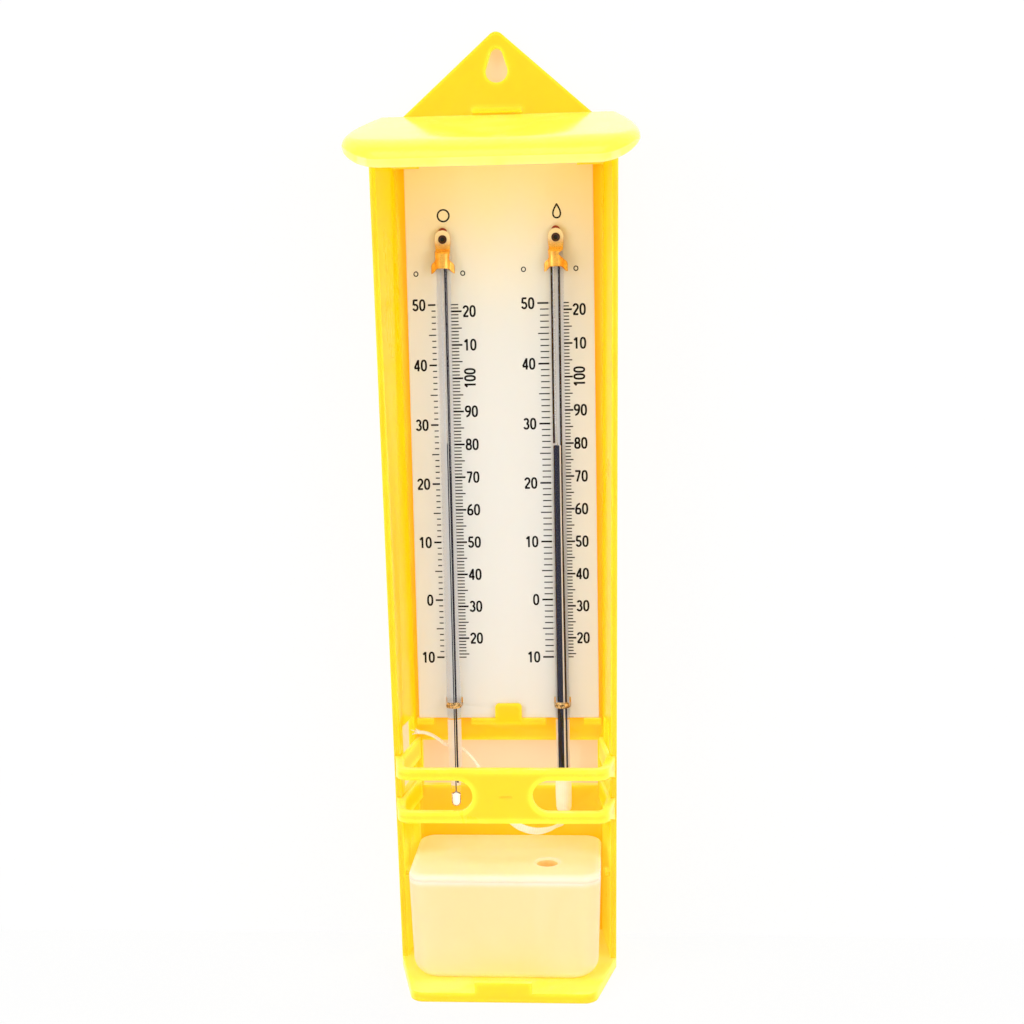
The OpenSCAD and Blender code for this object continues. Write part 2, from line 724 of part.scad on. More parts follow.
// The fibre pad under a clip's tab
module pad(x) {
    color(FIBRE)
    from_foot()
        translate([x, 0, 0])
        difference() {
            upright(plate_front, pad_t)
                translate([-pad_w / 2, clip_bend_z])
                square([pad_w, clip_tab_top + pad_up - clip_bend_z]);
            translate([0, 0, eyelet_z])
                rotate([90, 0, 0])
                cylinder(h = 2 * sheet_back, r = barrel_r + play, $fn = 48);
        }
}

// A hollow rivet through clip, pad and plate, with a flange in front and a rolled rim behind
module eyelet(x) {
    front = sheet_back + sheet_t;
    color(BRASS)
    from_foot()
        translate([x, 0, eyelet_z])
        rotate([90, 0, 0])
        difference() {
            union() {
                translate([0, 0, back_t])
                    cylinder(h = front + flange_t - back_t, r = barrel_r, $fn = 48);
                translate([0, 0, front])
                    cylinder(h = flange_t, r = eyelet_r, $fn = 48);
                translate([0, 0, back_t])
                    cylinder(h = plate_gap, r = eyelet_r, $fn = 48);
            }
            cylinder(h = 2 * front, r = eye_hole_r, $fn = 48);
        }
}

// A brass strap round the stem, with its legs through the plate
module clamp(x) {
    color(BRASS)
    from_foot()
        translate([x, 0, clamp_z]) {
            translate([0, -tube_y, 0])
                intersection() {
                    difference() {
                        cylinder(h = clamp_h, r = saddle_r + sheet_t, $fn = 64);
                        translate([0, 0, -1])
                            cylinder(h = clamp_h + 2, r = saddle_r, $fn = 64);
                    }
                    translate([-2 * stem_r, -2 * stem_r, -1])
                        cube([4 * stem_r, 2 * stem_r + EPS, clamp_h + 2]);
                }
            both_sides()
                translate([saddle_r, -tube_y, 0])
                cube([sheet_t, tube_y - plate_back, clamp_h]);
        }
}

module dry_stem() {
    stem(-tube_x);
}

module dry_mercury() {
    mercury(-tube_x, dry_reading);
}

module dry_top_clip() {
    top_clip(-tube_x);
}

module dry_pad() {
    pad(-tube_x);
}

module dry_eyelet() {
    eyelet(-tube_x);
}

module dry_clamp() {
    clamp(-tube_x);
}

module wet_stem() {
    stem(tube_x);
}

module wet_mercury() {
    mercury(tube_x, wet_reading);
}

module wet_top_clip() {
    top_clip(tube_x);
}

module wet_pad() {
    pad(tube_x);
}

module wet_eyelet() {
    eyelet(tube_x);
}

module wet_clamp() {
    clamp(tube_x);
}

// A cotton sleeve over the wet bulb, gathered shut below it
module wick_sleeve() {
    color(COTTON)
    from_foot()
        translate([tube_x, -tube_y, 0])
        difference() {
            translate([0, 0, sleeve_z])
                cylinder(h = sleeve_top - sleeve_z, r = sleeve_r, $fn = 48);
            translate([0, 0, bulb_z - play])
                cylinder(h = BIG, r = neck_r + play, $fn = 48);
        }
}

// A tube of eight sides swept along a route of points
module swept_tube(route, r) {
    sides = 8;
    n = len(route);
    way = [for (i = [0 : n - 1]) i == 0 ? [0, 0, -1] : route[min(i + 1, n - 1)] - route[i - 1]];
    rings = [for (i = [0 : n - 1]) let (d = way[i] / norm(way[i]), a = cross(d, [0.3, 1, 0.2]),
        u = a / norm(a), v = cross(d, u))
        each [for (k = [0 : sides - 1]) route[i]
            + r * (cos(360 * k / sides) * u + sin(360 * k / sides) * v)]];
    polyhedron(points = rings, faces = concat(
        [[for (k = [0 : sides - 1]) k]],
        [for (i = [0 : n - 2], k = [0 : sides - 1]) let (a = i * sides + k, b = i * sides + (k + 1) % sides)
            each [[a, a + sides, b + sides], [a, b + sides, b]]],
        [[for (k = [sides - 1 : -1 : 0]) (n - 1) * sides + k]]));
}

module wick_tail() {
    color(COTTON)
    from_foot()
        swept_tube(TAIL_ROUTE, tail_d / 2);
}

// The outer or inner form of the open box: round lower edges and corners, drafted sides
module tank_form(inset, top) {
    foot = tank_half - tank_draft;
    r = tank_r - inset;
    hull()
        both_sides()
            for (y = [tank_back + tank_r, tank_front - tank_r]) {
                translate([foot - tank_r, -y, tank_z + tank_r])
                    sphere(r, $fn = 32);
                translate([tank_half - tank_r, -y, tank_z + top - 1])
                    cylinder(h = 1, r = r, $fn = 32);
            }
}

module reservoir_box() {
    color(POLYTHENE)
    from_foot()
        difference() {
            tank_form(0, tank_h);
            tank_form(tank_t, tank_h + 1);
        }
}

// A disc with a round upper edge
module soft_disc(r, h, edge) {
    rotate_extrude($fn = 32)
        polygon([[0, 0], [r, 0], each [for (a = [0 : 22.5 : 90])
            [r - edge + edge * cos(a), h - edge + edge * sin(a)]], [0, h]]);
}

// Places the children at the four corners of the reservoir, at height z
module tank_corners(z) {
    both_sides()
        for (y = [tank_back + tank_r, tank_front - tank_r])
            translate([tank_half - tank_r, -y, z])
            children();
}

module reservoir_lid() {
    rim_r = tank_r - tank_t - lid_gap;
    color(POLYTHENE)
    from_foot()
        difference() {
            union() {
                hull()
                    tank_corners(tank_top)
                    soft_disc(tank_r, lid_t, lid_edge_r);
                difference() {
                    hull()
                        tank_corners(tank_top - lid_rim_h)
                        cylinder(h = lid_rim_h + 0.5, r = rim_r, $fn = 32);
                    hull()
                        tank_corners(tank_top - lid_rim_h - 1)
                        cylinder(h = lid_rim_h + 1, r = rim_r - tank_t, $fn = 32);
                }
                translate([wick_hole_x, -wick_hole_y, tank_top - lid_rim_h])
                    cylinder(h = lid_rim_h + 0.5, r = wick_hole_r + tank_t, $fn = 64);
            }
            translate([wick_hole_x, -wick_hole_y, tank_top - lid_rim_h - 1])
                cylinder(h = 2 * tank_h, r = wick_hole_r, $fn = 64);
            translate([wick_hole_x, -wick_hole_y, lid_top - wick_mouth_h])
                cylinder(h = wick_mouth_h + EPS, r1 = wick_hole_r, r2 = wick_mouth_r, $fn = 64);
        }
}

case_body();
bulb_guard();
roof_hood();
scale_plate();
dry_stem();
dry_mercury();
dry_top_clip();
dry_pad();
dry_eyelet();
dry_clamp();
wet_stem();
wet_mercury();
wet_top_clip();
wet_pad();
wet_eyelet();
wet_clamp();
wick_sleeve();
wick_tail();
reservoir_box();
reservoir_lid();
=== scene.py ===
# Wet and dry bulb hygrometer, dressed for its looks. Metres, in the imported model's frame: X to the
# right, -Y towards the reader, Z up, and the origin where a wall screw carries the keyhole.
import bpy
import bmesh
import numpy as np
from mathutils import Matrix


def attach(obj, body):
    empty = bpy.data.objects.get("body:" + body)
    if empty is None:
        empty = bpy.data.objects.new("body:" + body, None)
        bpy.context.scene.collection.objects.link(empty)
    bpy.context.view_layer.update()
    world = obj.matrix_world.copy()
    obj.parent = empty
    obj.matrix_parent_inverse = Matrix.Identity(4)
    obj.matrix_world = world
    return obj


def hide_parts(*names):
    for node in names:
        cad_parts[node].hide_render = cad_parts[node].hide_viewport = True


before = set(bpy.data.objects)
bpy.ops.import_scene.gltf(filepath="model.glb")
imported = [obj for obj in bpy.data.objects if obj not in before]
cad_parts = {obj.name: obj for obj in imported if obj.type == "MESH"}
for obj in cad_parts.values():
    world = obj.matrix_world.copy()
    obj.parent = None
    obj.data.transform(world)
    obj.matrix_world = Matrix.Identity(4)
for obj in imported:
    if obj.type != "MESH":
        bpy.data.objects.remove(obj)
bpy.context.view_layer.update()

# The camera stands in front, a little to the right and above the middle, and looks slightly left and
# down. Its place, its three turns and its focal length were fitted to the photograph.
CAMERA_PLACE = (0.0384, -0.5311, -0.0833)
CAMERA_YAW = np.radians(3.89)
CAMERA_PITCH = np.radians(8.04)
CAMERA_ROLL = np.radians(1.10)
FOCAL_PIXELS = 1500
FRAME_PIXELS = 1024
SENSOR = 36.0

ahead = np.array([-np.sin(CAMERA_YAW) * np.cos(CAMERA_PITCH),
                  np.cos(CAMERA_YAW) * np.cos(CAMERA_PITCH), -np.sin(CAMERA_PITCH)])
level = np.array([np.cos(CAMERA_YAW), np.sin(CAMERA_YAW), 0.0])
below = np.cross(ahead, level)
rightward = np.cos(CAMERA_ROLL) * level + np.sin(CAMERA_ROLL) * below
downward = -np.sin(CAMERA_ROLL) * level + np.cos(CAMERA_ROLL) * below
placing = np.eye(4)
placing[:3, :3] = np.stack([rightward, -downward, -ahead], axis=1)
placing[:3, 3] = CAMERA_PLACE
lens = bpy.data.cameras.new("camera")
lens.sensor_width = SENSOR
lens.lens = SENSOR * FOCAL_PIXELS / FRAME_PIXELS
lens.clip_start = 0.01
camera = bpy.data.objects.new("camera", lens)
camera.matrix_world = Matrix(placing.tolist())
bpy.context.scene.collection.objects.link(camera)
bpy.context.scene.camera = camera
bpy.context.scene.view_settings.view_transform = "Standard"


# The wick is a tube of white cotton knit. Its sleeve is pulled over the wet bulb and tied at both
# ends. Its tail is the same knit lying flat: it loops forward over the reservoir's hole, then its
# loose end is tucked up and back to the vent on the left. It is made first.
MM = 0.001
FOOT_BELOW_SCREW = 317.5


def turn_steps(count):
    """Equal steps of angle, once round."""
    return np.linspace(0, 2 * np.pi, count, endpoint=False)


def quarter_steps(count):
    """Equal steps of angle through a quarter turn, with both ends."""
    return np.linspace(0, np.pi / 2, count)


def points_at(*parts):
    """Points from their coordinates, each of them one number, a row or a grid."""
    return np.stack(np.broadcast_arrays(*parts), axis=-1)


def from_foot(points):
    """Millimetres, with heights taken from the foot of the case, turned into the frame's metres:
    the height less 317.5, all times 0.001."""
    return (np.asarray(points, float) - [0, 0, FOOT_BELOW_SCREW]) * MM


def smooth_line(stops, step):
    """A line of points about step apart through all the stops. Between two stops it is the cubic
    (2t3-3t2+1)a + (t3-2t2+t)A + (3t2-2t3)b + (t3-t2)B, where A and B are half the way from the stop
    before to the stop after."""
    stops = np.asarray(stops, float)
    pull = np.gradient(stops, axis=0)
    t = np.linspace(0, 1, 60, endpoint=False)[None, :, None]
    a, b = stops[:-1, None], stops[1:, None]
    pull_a, pull_b = pull[:-1, None], pull[1:, None]
    fine = ((2 * t**3 - 3 * t**2 + 1) * a + (t**3 - 2 * t**2 + t) * pull_a
            + (3 * t**2 - 2 * t**3) * b + (t**3 - t**2) * pull_b).reshape(-1, stops.shape[1])
    fine = np.concatenate([fine, stops[-1:]])
    run = np.concatenate([[0], np.cumsum(np.linalg.norm(np.diff(fine, axis=0), axis=1))])
    places = np.linspace(0, run[-1], max(2, int(round(run[-1] / step)) + 1))
    return np.stack([np.interp(places, run, fine[:, k]) for k in range(stops.shape[1])], axis=1)


def grid_form(points, ring=False, inward=False):
    """A closed form from a grid of points, rows by columns. The columns always close up. The rows
    close up too on a ring; otherwise the first and last rows are poles, each drawn in to one point.
    The form is turned round if its volume, the sum of corner products of its faces, is below zero."""
    rows, columns = points.shape[:2]
    r, c = np.meshgrid(np.arange(rows if ring else rows - 1), np.arange(columns), indexing="ij")
    r_next, c_next = (r + 1) % rows, (c + 1) % columns
    quads = np.stack([r * columns + c, r * columns + c_next, r_next * columns + c_next,
                      r_next * columns + c], axis=-1).reshape(-1, 4)
    around = np.stack([c, c + 1, c + 1, c], axis=-1).reshape(-1, 4) / columns
    along = np.stack([r, r, r + 1, r + 1], axis=-1).reshape(-1, 4) / max(1, rows - 1)
    flat = points.reshape(-1, 3)
    middle = flat.mean(axis=0)
    p, q, s, t = (flat[quads[:, k]] - middle for k in range(4))
    volume = (np.cross(p, q) * s).sum() + (np.cross(p, s) * t).sum()
    if (volume < 0) != inward:
        quads, around, along = quads[:, ::-1], around[:, ::-1], along[:, ::-1]
    return flat, quads, np.stack([around, along], axis=-1)


def make_piece(name, forms, sharp=40):
    """One mesh object from closed forms. Doubles are merged, which shuts the poles, and the map
    called form holds each form's way round and way along, from 0 to 1."""
    mesh = bpy.data.meshes.new(name)
    starts = np.cumsum([0] + [len(f[0]) for f in forms[:-1]])
    points = np.concatenate([f[0] for f in forms])
    faces = np.concatenate([f[1] + s for f, s in zip(forms, starts)])
    mesh.from_pydata(points.tolist(), [], faces.tolist())
    mesh.uv_layers.new(name="form")
    mesh.uv_layers["form"].data.foreach_set("uv", np.concatenate([f[2] for f in forms]).ravel())
    work = bmesh.new()
    work.from_mesh(mesh)
    bmesh.ops.remove_doubles(work, verts=work.verts, dist=2e-7)
    bmesh.ops.dissolve_degenerate(work, edges=work.edges, dist=1e-7)
    work.to_mesh(mesh)
    work.free()
    mesh.shade_smooth()
    mesh.set_sharp_from_angle(angle=np.radians(sharp))
    piece = bpy.data.objects.new(name, mesh)
    bpy.context.scene.collection.objects.link(piece)
    return piece


def pole_ends(rings):
    """Rings of points with a pole added before the first and after the last, at their middles."""
    first = np.broadcast_to(rings[0].mean(axis=0), rings[0].shape)
    last = np.broadcast_to(rings[-1].mean(axis=0), rings[-1].shape)
    return np.concatenate([first[None], rings, last[None]])


def turned_form(rings, inward=False):
    """A closed form from rings in millimetres, shut by a pole at both ends."""
    return grid_form(from_foot(pole_ends(rings)), inward=inward)


def swept(line, across, through, ring=False, sides=16, hint=(0.3, 1.0, 0.2), twist=0.0):
    """A section carried along a line of points. At each point w is the heading crossed with the
    hint, n is the heading crossed with w, both turned by the twist, and the section is
    across*cos(a)*w + through*sin(a)*n."""
    heading = np.gradient(line, axis=0)
    if ring:
        heading = np.roll(line, -1, axis=0) - np.roll(line, 1, axis=0)
    heading /= np.linalg.norm(heading, axis=1, keepdims=True)
    w = np.cross(heading, hint)
    w /= np.linalg.norm(w, axis=1, keepdims=True)
    n = np.cross(heading, w)
    turn = np.broadcast_to(twist, len(line))[:, None]
    w, n = np.cos(turn) * w + np.sin(turn) * n, np.cos(turn) * n - np.sin(turn) * w
    a = turn_steps(sides)[None, :, None]
    across = np.broadcast_to(across, len(line))[:, None, None]
    through = np.broadcast_to(through, len(line))[:, None, None]
    rings = line[:, None] + across * np.cos(a) * w[:, None] + through * np.sin(a) * n[:, None]
    return grid_form(rings, ring=True) if ring else grid_form(pole_ends(rings))


TAIL_ROUTE = [[19.6, -6.7, 50.7], [19.4, -7.4, 48.9], [18.8, -9, 47.4], [17.6, -11.8, 46.7],
              [15.6, -15.4, 46.7], [13, -18.6, 47], [10, -20.4, 47.4], [6.6, -20.8, 48.2],
              [3.2, -20, 49.5], [0, -18, 51.6], [-3, -15, 54.8], [-5.8, -11.6, 58.5],
              [-8.4, -8.6, 62.4], [-10.8, -6.4, 65.8], [-13.4, -4.6, 68.8], [-16.2, -3.3, 71.4],
              [-19, -2.8, 73], [-21.6, -3, 73.6], [-23.6, -4, 74.4], [-25.4, -5.1, 76.2],
              [-27.8, -5.8, 78.1], [-30.4, -6.8, 79.4], [-32.8, -8, 80]]
TAIL_WIDTH = 3.0 * MM
TAIL_THICK = 1.0 * MM
TAIL_STEP = 0.2 * MM
STITCH = 0.75 * MM
STITCH_SWELL = 0.012
# The tail leaves the sleeve gathered, and turns over about halfway along
GATHERED = 0.3
GATHERED_OVER = 1.5 * MM
TAIL_TURN = np.radians(-66)
TURN_AT = 0.038
TURN_OVER = 0.0025
tail_line = smooth_line(from_foot(TAIL_ROUTE), TAIL_STEP)
tail_run = np.arange(len(tail_line)) * TAIL_STEP
tail_swell = 1 + STITCH_SWELL * np.cos(2 * np.pi * tail_run / STITCH)
tail_pinch = 1 - GATHERED * np.exp(-tail_run / GATHERED_OVER)
tail_twist = TAIL_TURN / (1 + np.exp((TURN_AT - tail_run) / TURN_OVER))
tail_form = swept(tail_line, TAIL_WIDTH / 2 * tail_swell * tail_pinch / (1 + STITCH_SWELL),
                  TAIL_THICK / 2 * tail_swell, sides=24, twist=tail_twist)
wick_tail = make_piece("wick_strip", [tail_form], sharp=80)

FRAY_COUNT = 7
FRAY_R = 0.13 * MM
tail_end = tail_line[-1]
tail_out = tail_end - tail_line[-4]
tail_out = tail_out / np.linalg.norm(tail_out)
fray_forms = []
for k in range(FRAY_COUNT):
    side = (k - (FRAY_COUNT - 1) / 2) / FRAY_COUNT
    reach = (1.6 + 0.7 * np.cos(2.4 * k)) * MM
    lift = np.array([-0.25 * np.sin(1.7 * k), 0.15 * np.cos(2.1 * k), side])
    stops = tail_end + np.outer([-0.4, 0.2, 0.6, 1.0], tail_out * reach) \
        + np.outer([0.9, 1.0, 1.2, 1.7], lift * TAIL_WIDTH * 0.5)
    fray_forms.append(swept(smooth_line(stops, 0.15 * MM), FRAY_R, FRAY_R, sides=6))
tail_fray = make_piece("wick_strip_fray", fray_forms, sharp=80)

TUBE_X = 19.6
TUBE_Y = -6.7
SLEEVE_FOOT = 50.7
SLEEVE_TOP = 66.2
SLEEVE_R = 2.86
SLEEVE_WALL = 0.62
WALES = 26
TIES = ((50.9, 2.42), (64.1, 2.72))
TIE_R = 0.2
TIE_PITCH = 0.055


def round_about(x, y, heights, radii):
    """Rings about an upright axis at x, y: each has its own height and radius, which may change
    round the ring. Point = (x + r cos a, y + r sin a, h)."""
    a = turn_steps(radii.shape[1])
    return points_at(x + radii * np.cos(a), y + radii * np.sin(a), heights.reshape(len(heights), -1))


around = turn_steps(156)[None, :]
climb = np.linspace(0, 1, 74)[:, None]
# The sleeve lies in folds at its foot, is gathered and pinched in under the lower tie, and hugs the
# bulb. Its top edge waves, and its wales stand as ribs.
folds = 0.10 * np.sin(5 * around + 5 * climb) * np.exp(-4 * climb) + 0.05 * np.sin(3 * around - 4 * climb)
ribs = 0.05 * np.cos(WALES * around) * np.minimum(1, 4 * climb)
hug = 0.95 + 0.05 * np.sin(np.pi * np.clip(climb * 1.1, 0, 1))
gather = np.minimum(1, 0.90 + 6.0 * climb)
pinch = 1 - 0.12 * np.exp(-((climb - 0.03) / 0.018) ** 2)
outer = SLEEVE_R * hug * gather * pinch + folds + ribs - 0.02
heights = SLEEVE_FOOT + (SLEEVE_TOP - SLEEVE_FOOT) * climb + 0.12 * np.sin(7 * around) * climb ** 8
inner = np.maximum(outer - SLEEVE_WALL, 0.3)
rows_up = round_about(TUBE_X, TUBE_Y, heights, outer)
rows_down = round_about(TUBE_X, TUBE_Y, heights + 0.25, inner)[::-1]
sleeve_rings = np.concatenate([rows_up, rows_down[:-1]])
wick_sleeve = make_piece("wick_knit_sleeve", [turned_form(sleeve_rings)], sharp=80)

tie_turn = np.linspace(0, 2 * np.pi * 2.6, 110)
knot_turn = np.linspace(np.pi, 0, 9)
knot_r = 0.4 * np.sin(knot_turn[::-1])[:, None] * (1 + 0.12 * np.cos(3 * around[:, ::8]))
tie_forms = []
for tie_z, tie_r in TIES:
    tie = points_at(TUBE_X + tie_r * np.cos(tie_turn), TUBE_Y + tie_r * np.sin(tie_turn),
                    tie_z + TIE_PITCH * tie_turn)
    tie_forms.append(swept(from_foot(tie), TIE_R * MM, TIE_R * MM, sides=8, hint=(0.05, 0.02, 1.0)))
    knot = round_about(TUBE_X - 0.1, TUBE_Y - tie_r - 0.12, tie_z + 0.4 + 0.42 * np.cos(knot_turn), knot_r)
    tie_forms.append(grid_form(from_foot(knot)))
sleeve_ties = make_piece("wick_tie_thread", tie_forms, sharp=80)


def add(tree, kind, inputs=None, **settings):
    """One node in a tree. Settings are the node's own; an input is a value, or a socket to join."""
    made = tree.nodes.new("ShaderNode" + kind)
    for key, value in settings.items():
        setattr(made, key, value)
    for key, value in (inputs or {}).items():
        if isinstance(value, bpy.types.NodeSocket):
            tree.links.new(value, made.inputs[key])
        else:
            made.inputs[key].default_value = value
    return made


def reckon(tree, operation, *values):
    """The result of one Math node."""
    return add(tree, "Math", dict(enumerate(values)), operation=operation).outputs[0]


def times(tree, *values):
    """Two or more values multiplied together."""
    product = values[0]
    for value in values[1:]:
        product = reckon(tree, "MULTIPLY", product, value)
    return product


def between(tree, factor, low, high):
    """A colour between two others."""
    return add(tree, "Mix", {0: factor, 6: low, 7: high}, data_type="RGBA").outputs[2]


def spread(tree, value, low, high, to_low=0.0, to_high=1.0):
    """A value carried smoothly from one range to another."""
    return add(tree, "MapRange", {0: value, 1: low, 2: high, 3: to_low, 4: to_high},
               interpolation_type="SMOOTHSTEP").outputs[0]


def start_group(name, takes, gives):
    """A shader node group with its named sockets. Returns it, what comes in and what goes out."""
    group = bpy.data.node_groups.new(name, "ShaderNodeTree")
    for socket, (kind, value) in takes.items():
        made = group.interface.new_socket(name=socket, in_out="INPUT", socket_type="NodeSocket" + kind)
        if value is not None:
            made.default_value = value
    for socket, kind in gives.items():
        group.interface.new_socket(name=socket, in_out="OUTPUT", socket_type="NodeSocket" + kind)
    return group, group.nodes.new("NodeGroupInput").outputs, group.nodes.new("NodeGroupOutput").inputs


def use_group(tree, group, **inputs):
    """A group placed in a material, with its own values. Its outputs are returned."""
    made = tree.nodes.new("ShaderNodeGroup")
    made.node_tree = group
    for key, value in inputs.items():
        socket = made.inputs[key.replace("_", " ")]
        if isinstance(value, bpy.types.NodeSocket):
            tree.links.new(value, socket)
        else:
            socket.default_value = value
    return made.outputs


def start_finish(name, **plain):
    """A material: its node tree, its Principled shader's sockets and the place on the piece. The
    named values are the same all over it."""
    finish = bpy.data.materials.new(name)
    finish.use_nodes = True
    shader = finish.node_tree.nodes["Principled BSDF"]
    for key, value in plain.items():
        shader.inputs[key.replace("_", " ")].default_value = value
    place = add(finish.node_tree, "TexCoord").outputs["Object"]
    return finish, finish.node_tree, shader.inputs, place


def axes(tree, vector):
    """The three parts of a vector."""
    return add(tree, "SeparateXYZ", {0: vector}).outputs


def join(tree, skin, **made):
    """Sockets joined to the shader's inputs of the same names."""
    for key, socket in made.items():
        tree.links.new(socket, skin[key.replace("_", " ")])


def paint(tree, skin, colour):
    """One colour for the surface and for its glow. Where a finish sets an emission strength, that glow
    is painted light.
    """
    join(tree, skin, Base_Color=colour, Emission_Color=colour)


def bumped(tree, skin, height, distance, strength=1.0):
    """Small relief: a height map, at most a distance deep."""
    relief = add(tree, "Bump", {"Height": height, "Distance": distance, "Strength": strength})
    tree.links.new(relief.outputs[0], skin["Normal"])
    return relief


def dress(piece, finish, body, slot, *nodes):
    """Gives a piece its finish, its body and the CAD nodes that it replaces. The slot is not used."""
    piece.data.materials.clear()
    piece.data.materials.append(finish)
    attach(piece, body)
    if nodes:
        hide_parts(*nodes)


# Mottle: uneven tone at two sizes, as in stained, handled or flowing material. Value = a broad noise
# and a fine one mixed, each stretched by its own amount.
mottle, come, go = start_group(
    "mottle", {"Place": ("Vector", None), "Broad": ("Float", 60.0), "Fine": ("Float", 900.0),
               "Share": ("Float", 0.4)}, {"Tone": "Float", "Speck": "Float"})
broad = add(mottle, "TexNoise", {"Vector": come["Place"], "Scale": come["Broad"], "Detail": 3.0})
fine = add(mottle, "TexNoise", {"Vector": come["Place"], "Scale": come["Fine"], "Detail": 2.0})
mottle.links.new(add(mottle, "Mix", {0: come["Share"], 2: broad.outputs[0], 3: fine.outputs[0]}).outputs[0],
                 go["Tone"])
mottle.links.new(fine.outputs[0], go["Speck"])

COTTON_LIGHT = (1.0, 0.95, 0.82, 1)
COTTON_DEEP = (0.90, 0.78, 0.58, 1)
COTTON_SHADE_TINT = (0.92, 0.54, 0.17, 1)
LOOPS_ROUND = 13
LOOPS_ALONG = 96
# The cotton's faint glow, set by its emission strength, is painted light.
cotton, tree, skin, place = start_finish(
    "cotton_knit", Roughness=0.95, Sheen_Weight=0.35, Sheen_Roughness=0.5, Specular_IOR_Level=0.2,
    Subsurface_Weight=0.3, Subsurface_Scale=0.0015, Emission_Strength=0.1)
way = axes(tree, add(tree, "UVMap", uv_map="form").outputs[0])
loop_across = reckon(tree, "SINE", times(tree, way[0], 2 * np.pi * LOOPS_ROUND))
loop_across = reckon(tree, "ABSOLUTE", loop_across)
loop_turn = reckon(tree, "ADD", times(tree, way[1], 2 * np.pi * LOOPS_ALONG), times(tree, loop_across, 1.6))
stitch = times(tree, spread(tree, reckon(tree, "SINE", loop_turn), -1.0, 0.6), loop_across)
stain = use_group(tree, mottle, Place=place, Broad=260.0, Fine=4200.0, Share=0.35)
# Painted shade: the knit is lighter on the crowns of its loops and darker in the grooves between them,
# following the stitch relief; the mottle adds random tone.
lit = reckon(tree, "MULTIPLY_ADD", stitch, 0.45, stain["Tone"])
colour = between(tree, lit, COTTON_DEEP, COTTON_LIGHT)
# Painted shade: the stretch behind the dry stem is tinted a deeper orange, for the shade and the
# yellow light that the case throws on it
at = axes(tree, place)
behind_stem_shade = times(tree, spread(tree, at[0], -0.021, -0.014), spread(tree, at[0], 0.012, 0.010),
                 spread(tree, at[2], -0.238, -0.232))
colour = between(tree, behind_stem_shade, colour, COTTON_SHADE_TINT)
paint(tree, skin, colour)
fuzz = reckon(tree, "ADD", stitch, times(tree, stain["Speck"], 0.5))
bumped(tree, skin, fuzz, 0.00008, 0.6)
dress(wick_tail, cotton, "case", "wick_cotton", "wick_tail")
dress(tail_fray, cotton, "case", "wick_cotton")
dress(wick_sleeve, cotton, "case", "wick_cotton", "wick_sleeve")
dress(sleeve_ties, cotton, "case", "wick_cotton")


# The room: a pale wall for the case to hang on, a pale floor at its foot, and even studio light. Seen
# from behind, the wall isn't there. Only the camera, mirrors and glass see it, so it takes no light
# from the back.
WALL_GAP = 0.6 * MM
FLOOR_Z = -0.3176
ROOM_HALF = 3.0
PATCH_DULLS = 0.84
# Painted shade and yellow reflected light: warm patches behind the case's rear window and its
# keyhole. Their left, right, low and high edge
WARM_SHADE_PATCHES = ((-0.0405, 0.0365, -0.262, -0.230), (-0.004, 0.004, -0.010, 0.003))


def flat_sheet(name, corners):
    """One flat face through four corners."""
    mesh = bpy.data.meshes.new(name)
    mesh.from_pydata(corners, [], [(0, 1, 2, 3)])
    sheet = bpy.data.objects.new(name, mesh)
    bpy.context.scene.collection.objects.link(sheet)
    return sheet


def pale_finish(name, colour, glow_share, one_sided, warm_shade=None):
    """Chalky paint. The camera, mirrors and glass see part of it as plain white, so that it stays
    pale in shadow. A one-sided sheet is clear from behind, and for every other ray. The warm shade
    is painted shade and yellow reflected light: a warmer tone that only shows through the case's
    openings."""
    finish, tree, skin, place = start_finish(name, Roughness=0.9)
    skin["Base Color"].default_value = colour
    shader = tree.nodes["Principled BSDF"]
    covered = 0.0
    if warm_shade:
        at = axes(tree, place)
        for x0, x1, z0, z1 in WARM_SHADE_PATCHES:
            inside = times(tree, spread(tree, at[0], x0 - 0.001, x0), spread(tree, at[0], x1 + 0.001, x1),
                           spread(tree, at[2], z0 - 0.002, z0), spread(tree, at[2], z1 + 0.002, z1))
            covered = reckon(tree, "MAXIMUM", covered, inside)
        join(tree, skin, Base_Color=between(tree, covered, colour, warm_shade))
        covered = times(tree, covered, PATCH_DULLS)
    grain = add(tree, "TexNoise", {"Vector": place, "Scale": 300.0})
    bumped(tree, skin, grain.outputs[0], 0.0001)
    rays = add(tree, "LightPath").outputs
    seen = reckon(tree, "MAXIMUM", rays["Is Camera Ray"],
                  reckon(tree, "MAXIMUM", rays["Is Glossy Ray"], rays["Is Transmission Ray"]))
    glow = add(tree, "Emission", {"Color": (1, 1, 1, 1), "Strength": 1.0}).outputs[0]
    glow_now = times(tree, reckon(tree, "SUBTRACT", 1.0, covered), glow_share)
    surface = add(tree, "MixShader", {0: times(tree, seen, glow_now),
                                      1: shader.outputs[0], 2: glow}).outputs[0]
    if one_sided:
        front = reckon(tree, "SUBTRACT", 1.0, add(tree, "NewGeometry").outputs["Backfacing"])
        shown = times(tree, front, seen)
        surface = add(tree, "MixShader", {0: shown, 1: add(tree, "BsdfTransparent").outputs[0],
                                          2: surface}).outputs[0]
    tree.links.new(surface, tree.nodes["Material Output"].inputs[0])
    return finish


wall = flat_sheet("wall", [(-ROOM_HALF, WALL_GAP, FLOOR_Z), (ROOM_HALF, WALL_GAP, FLOOR_Z),
                           (ROOM_HALF, WALL_GAP, ROOM_HALF), (-ROOM_HALF, WALL_GAP, ROOM_HALF)])
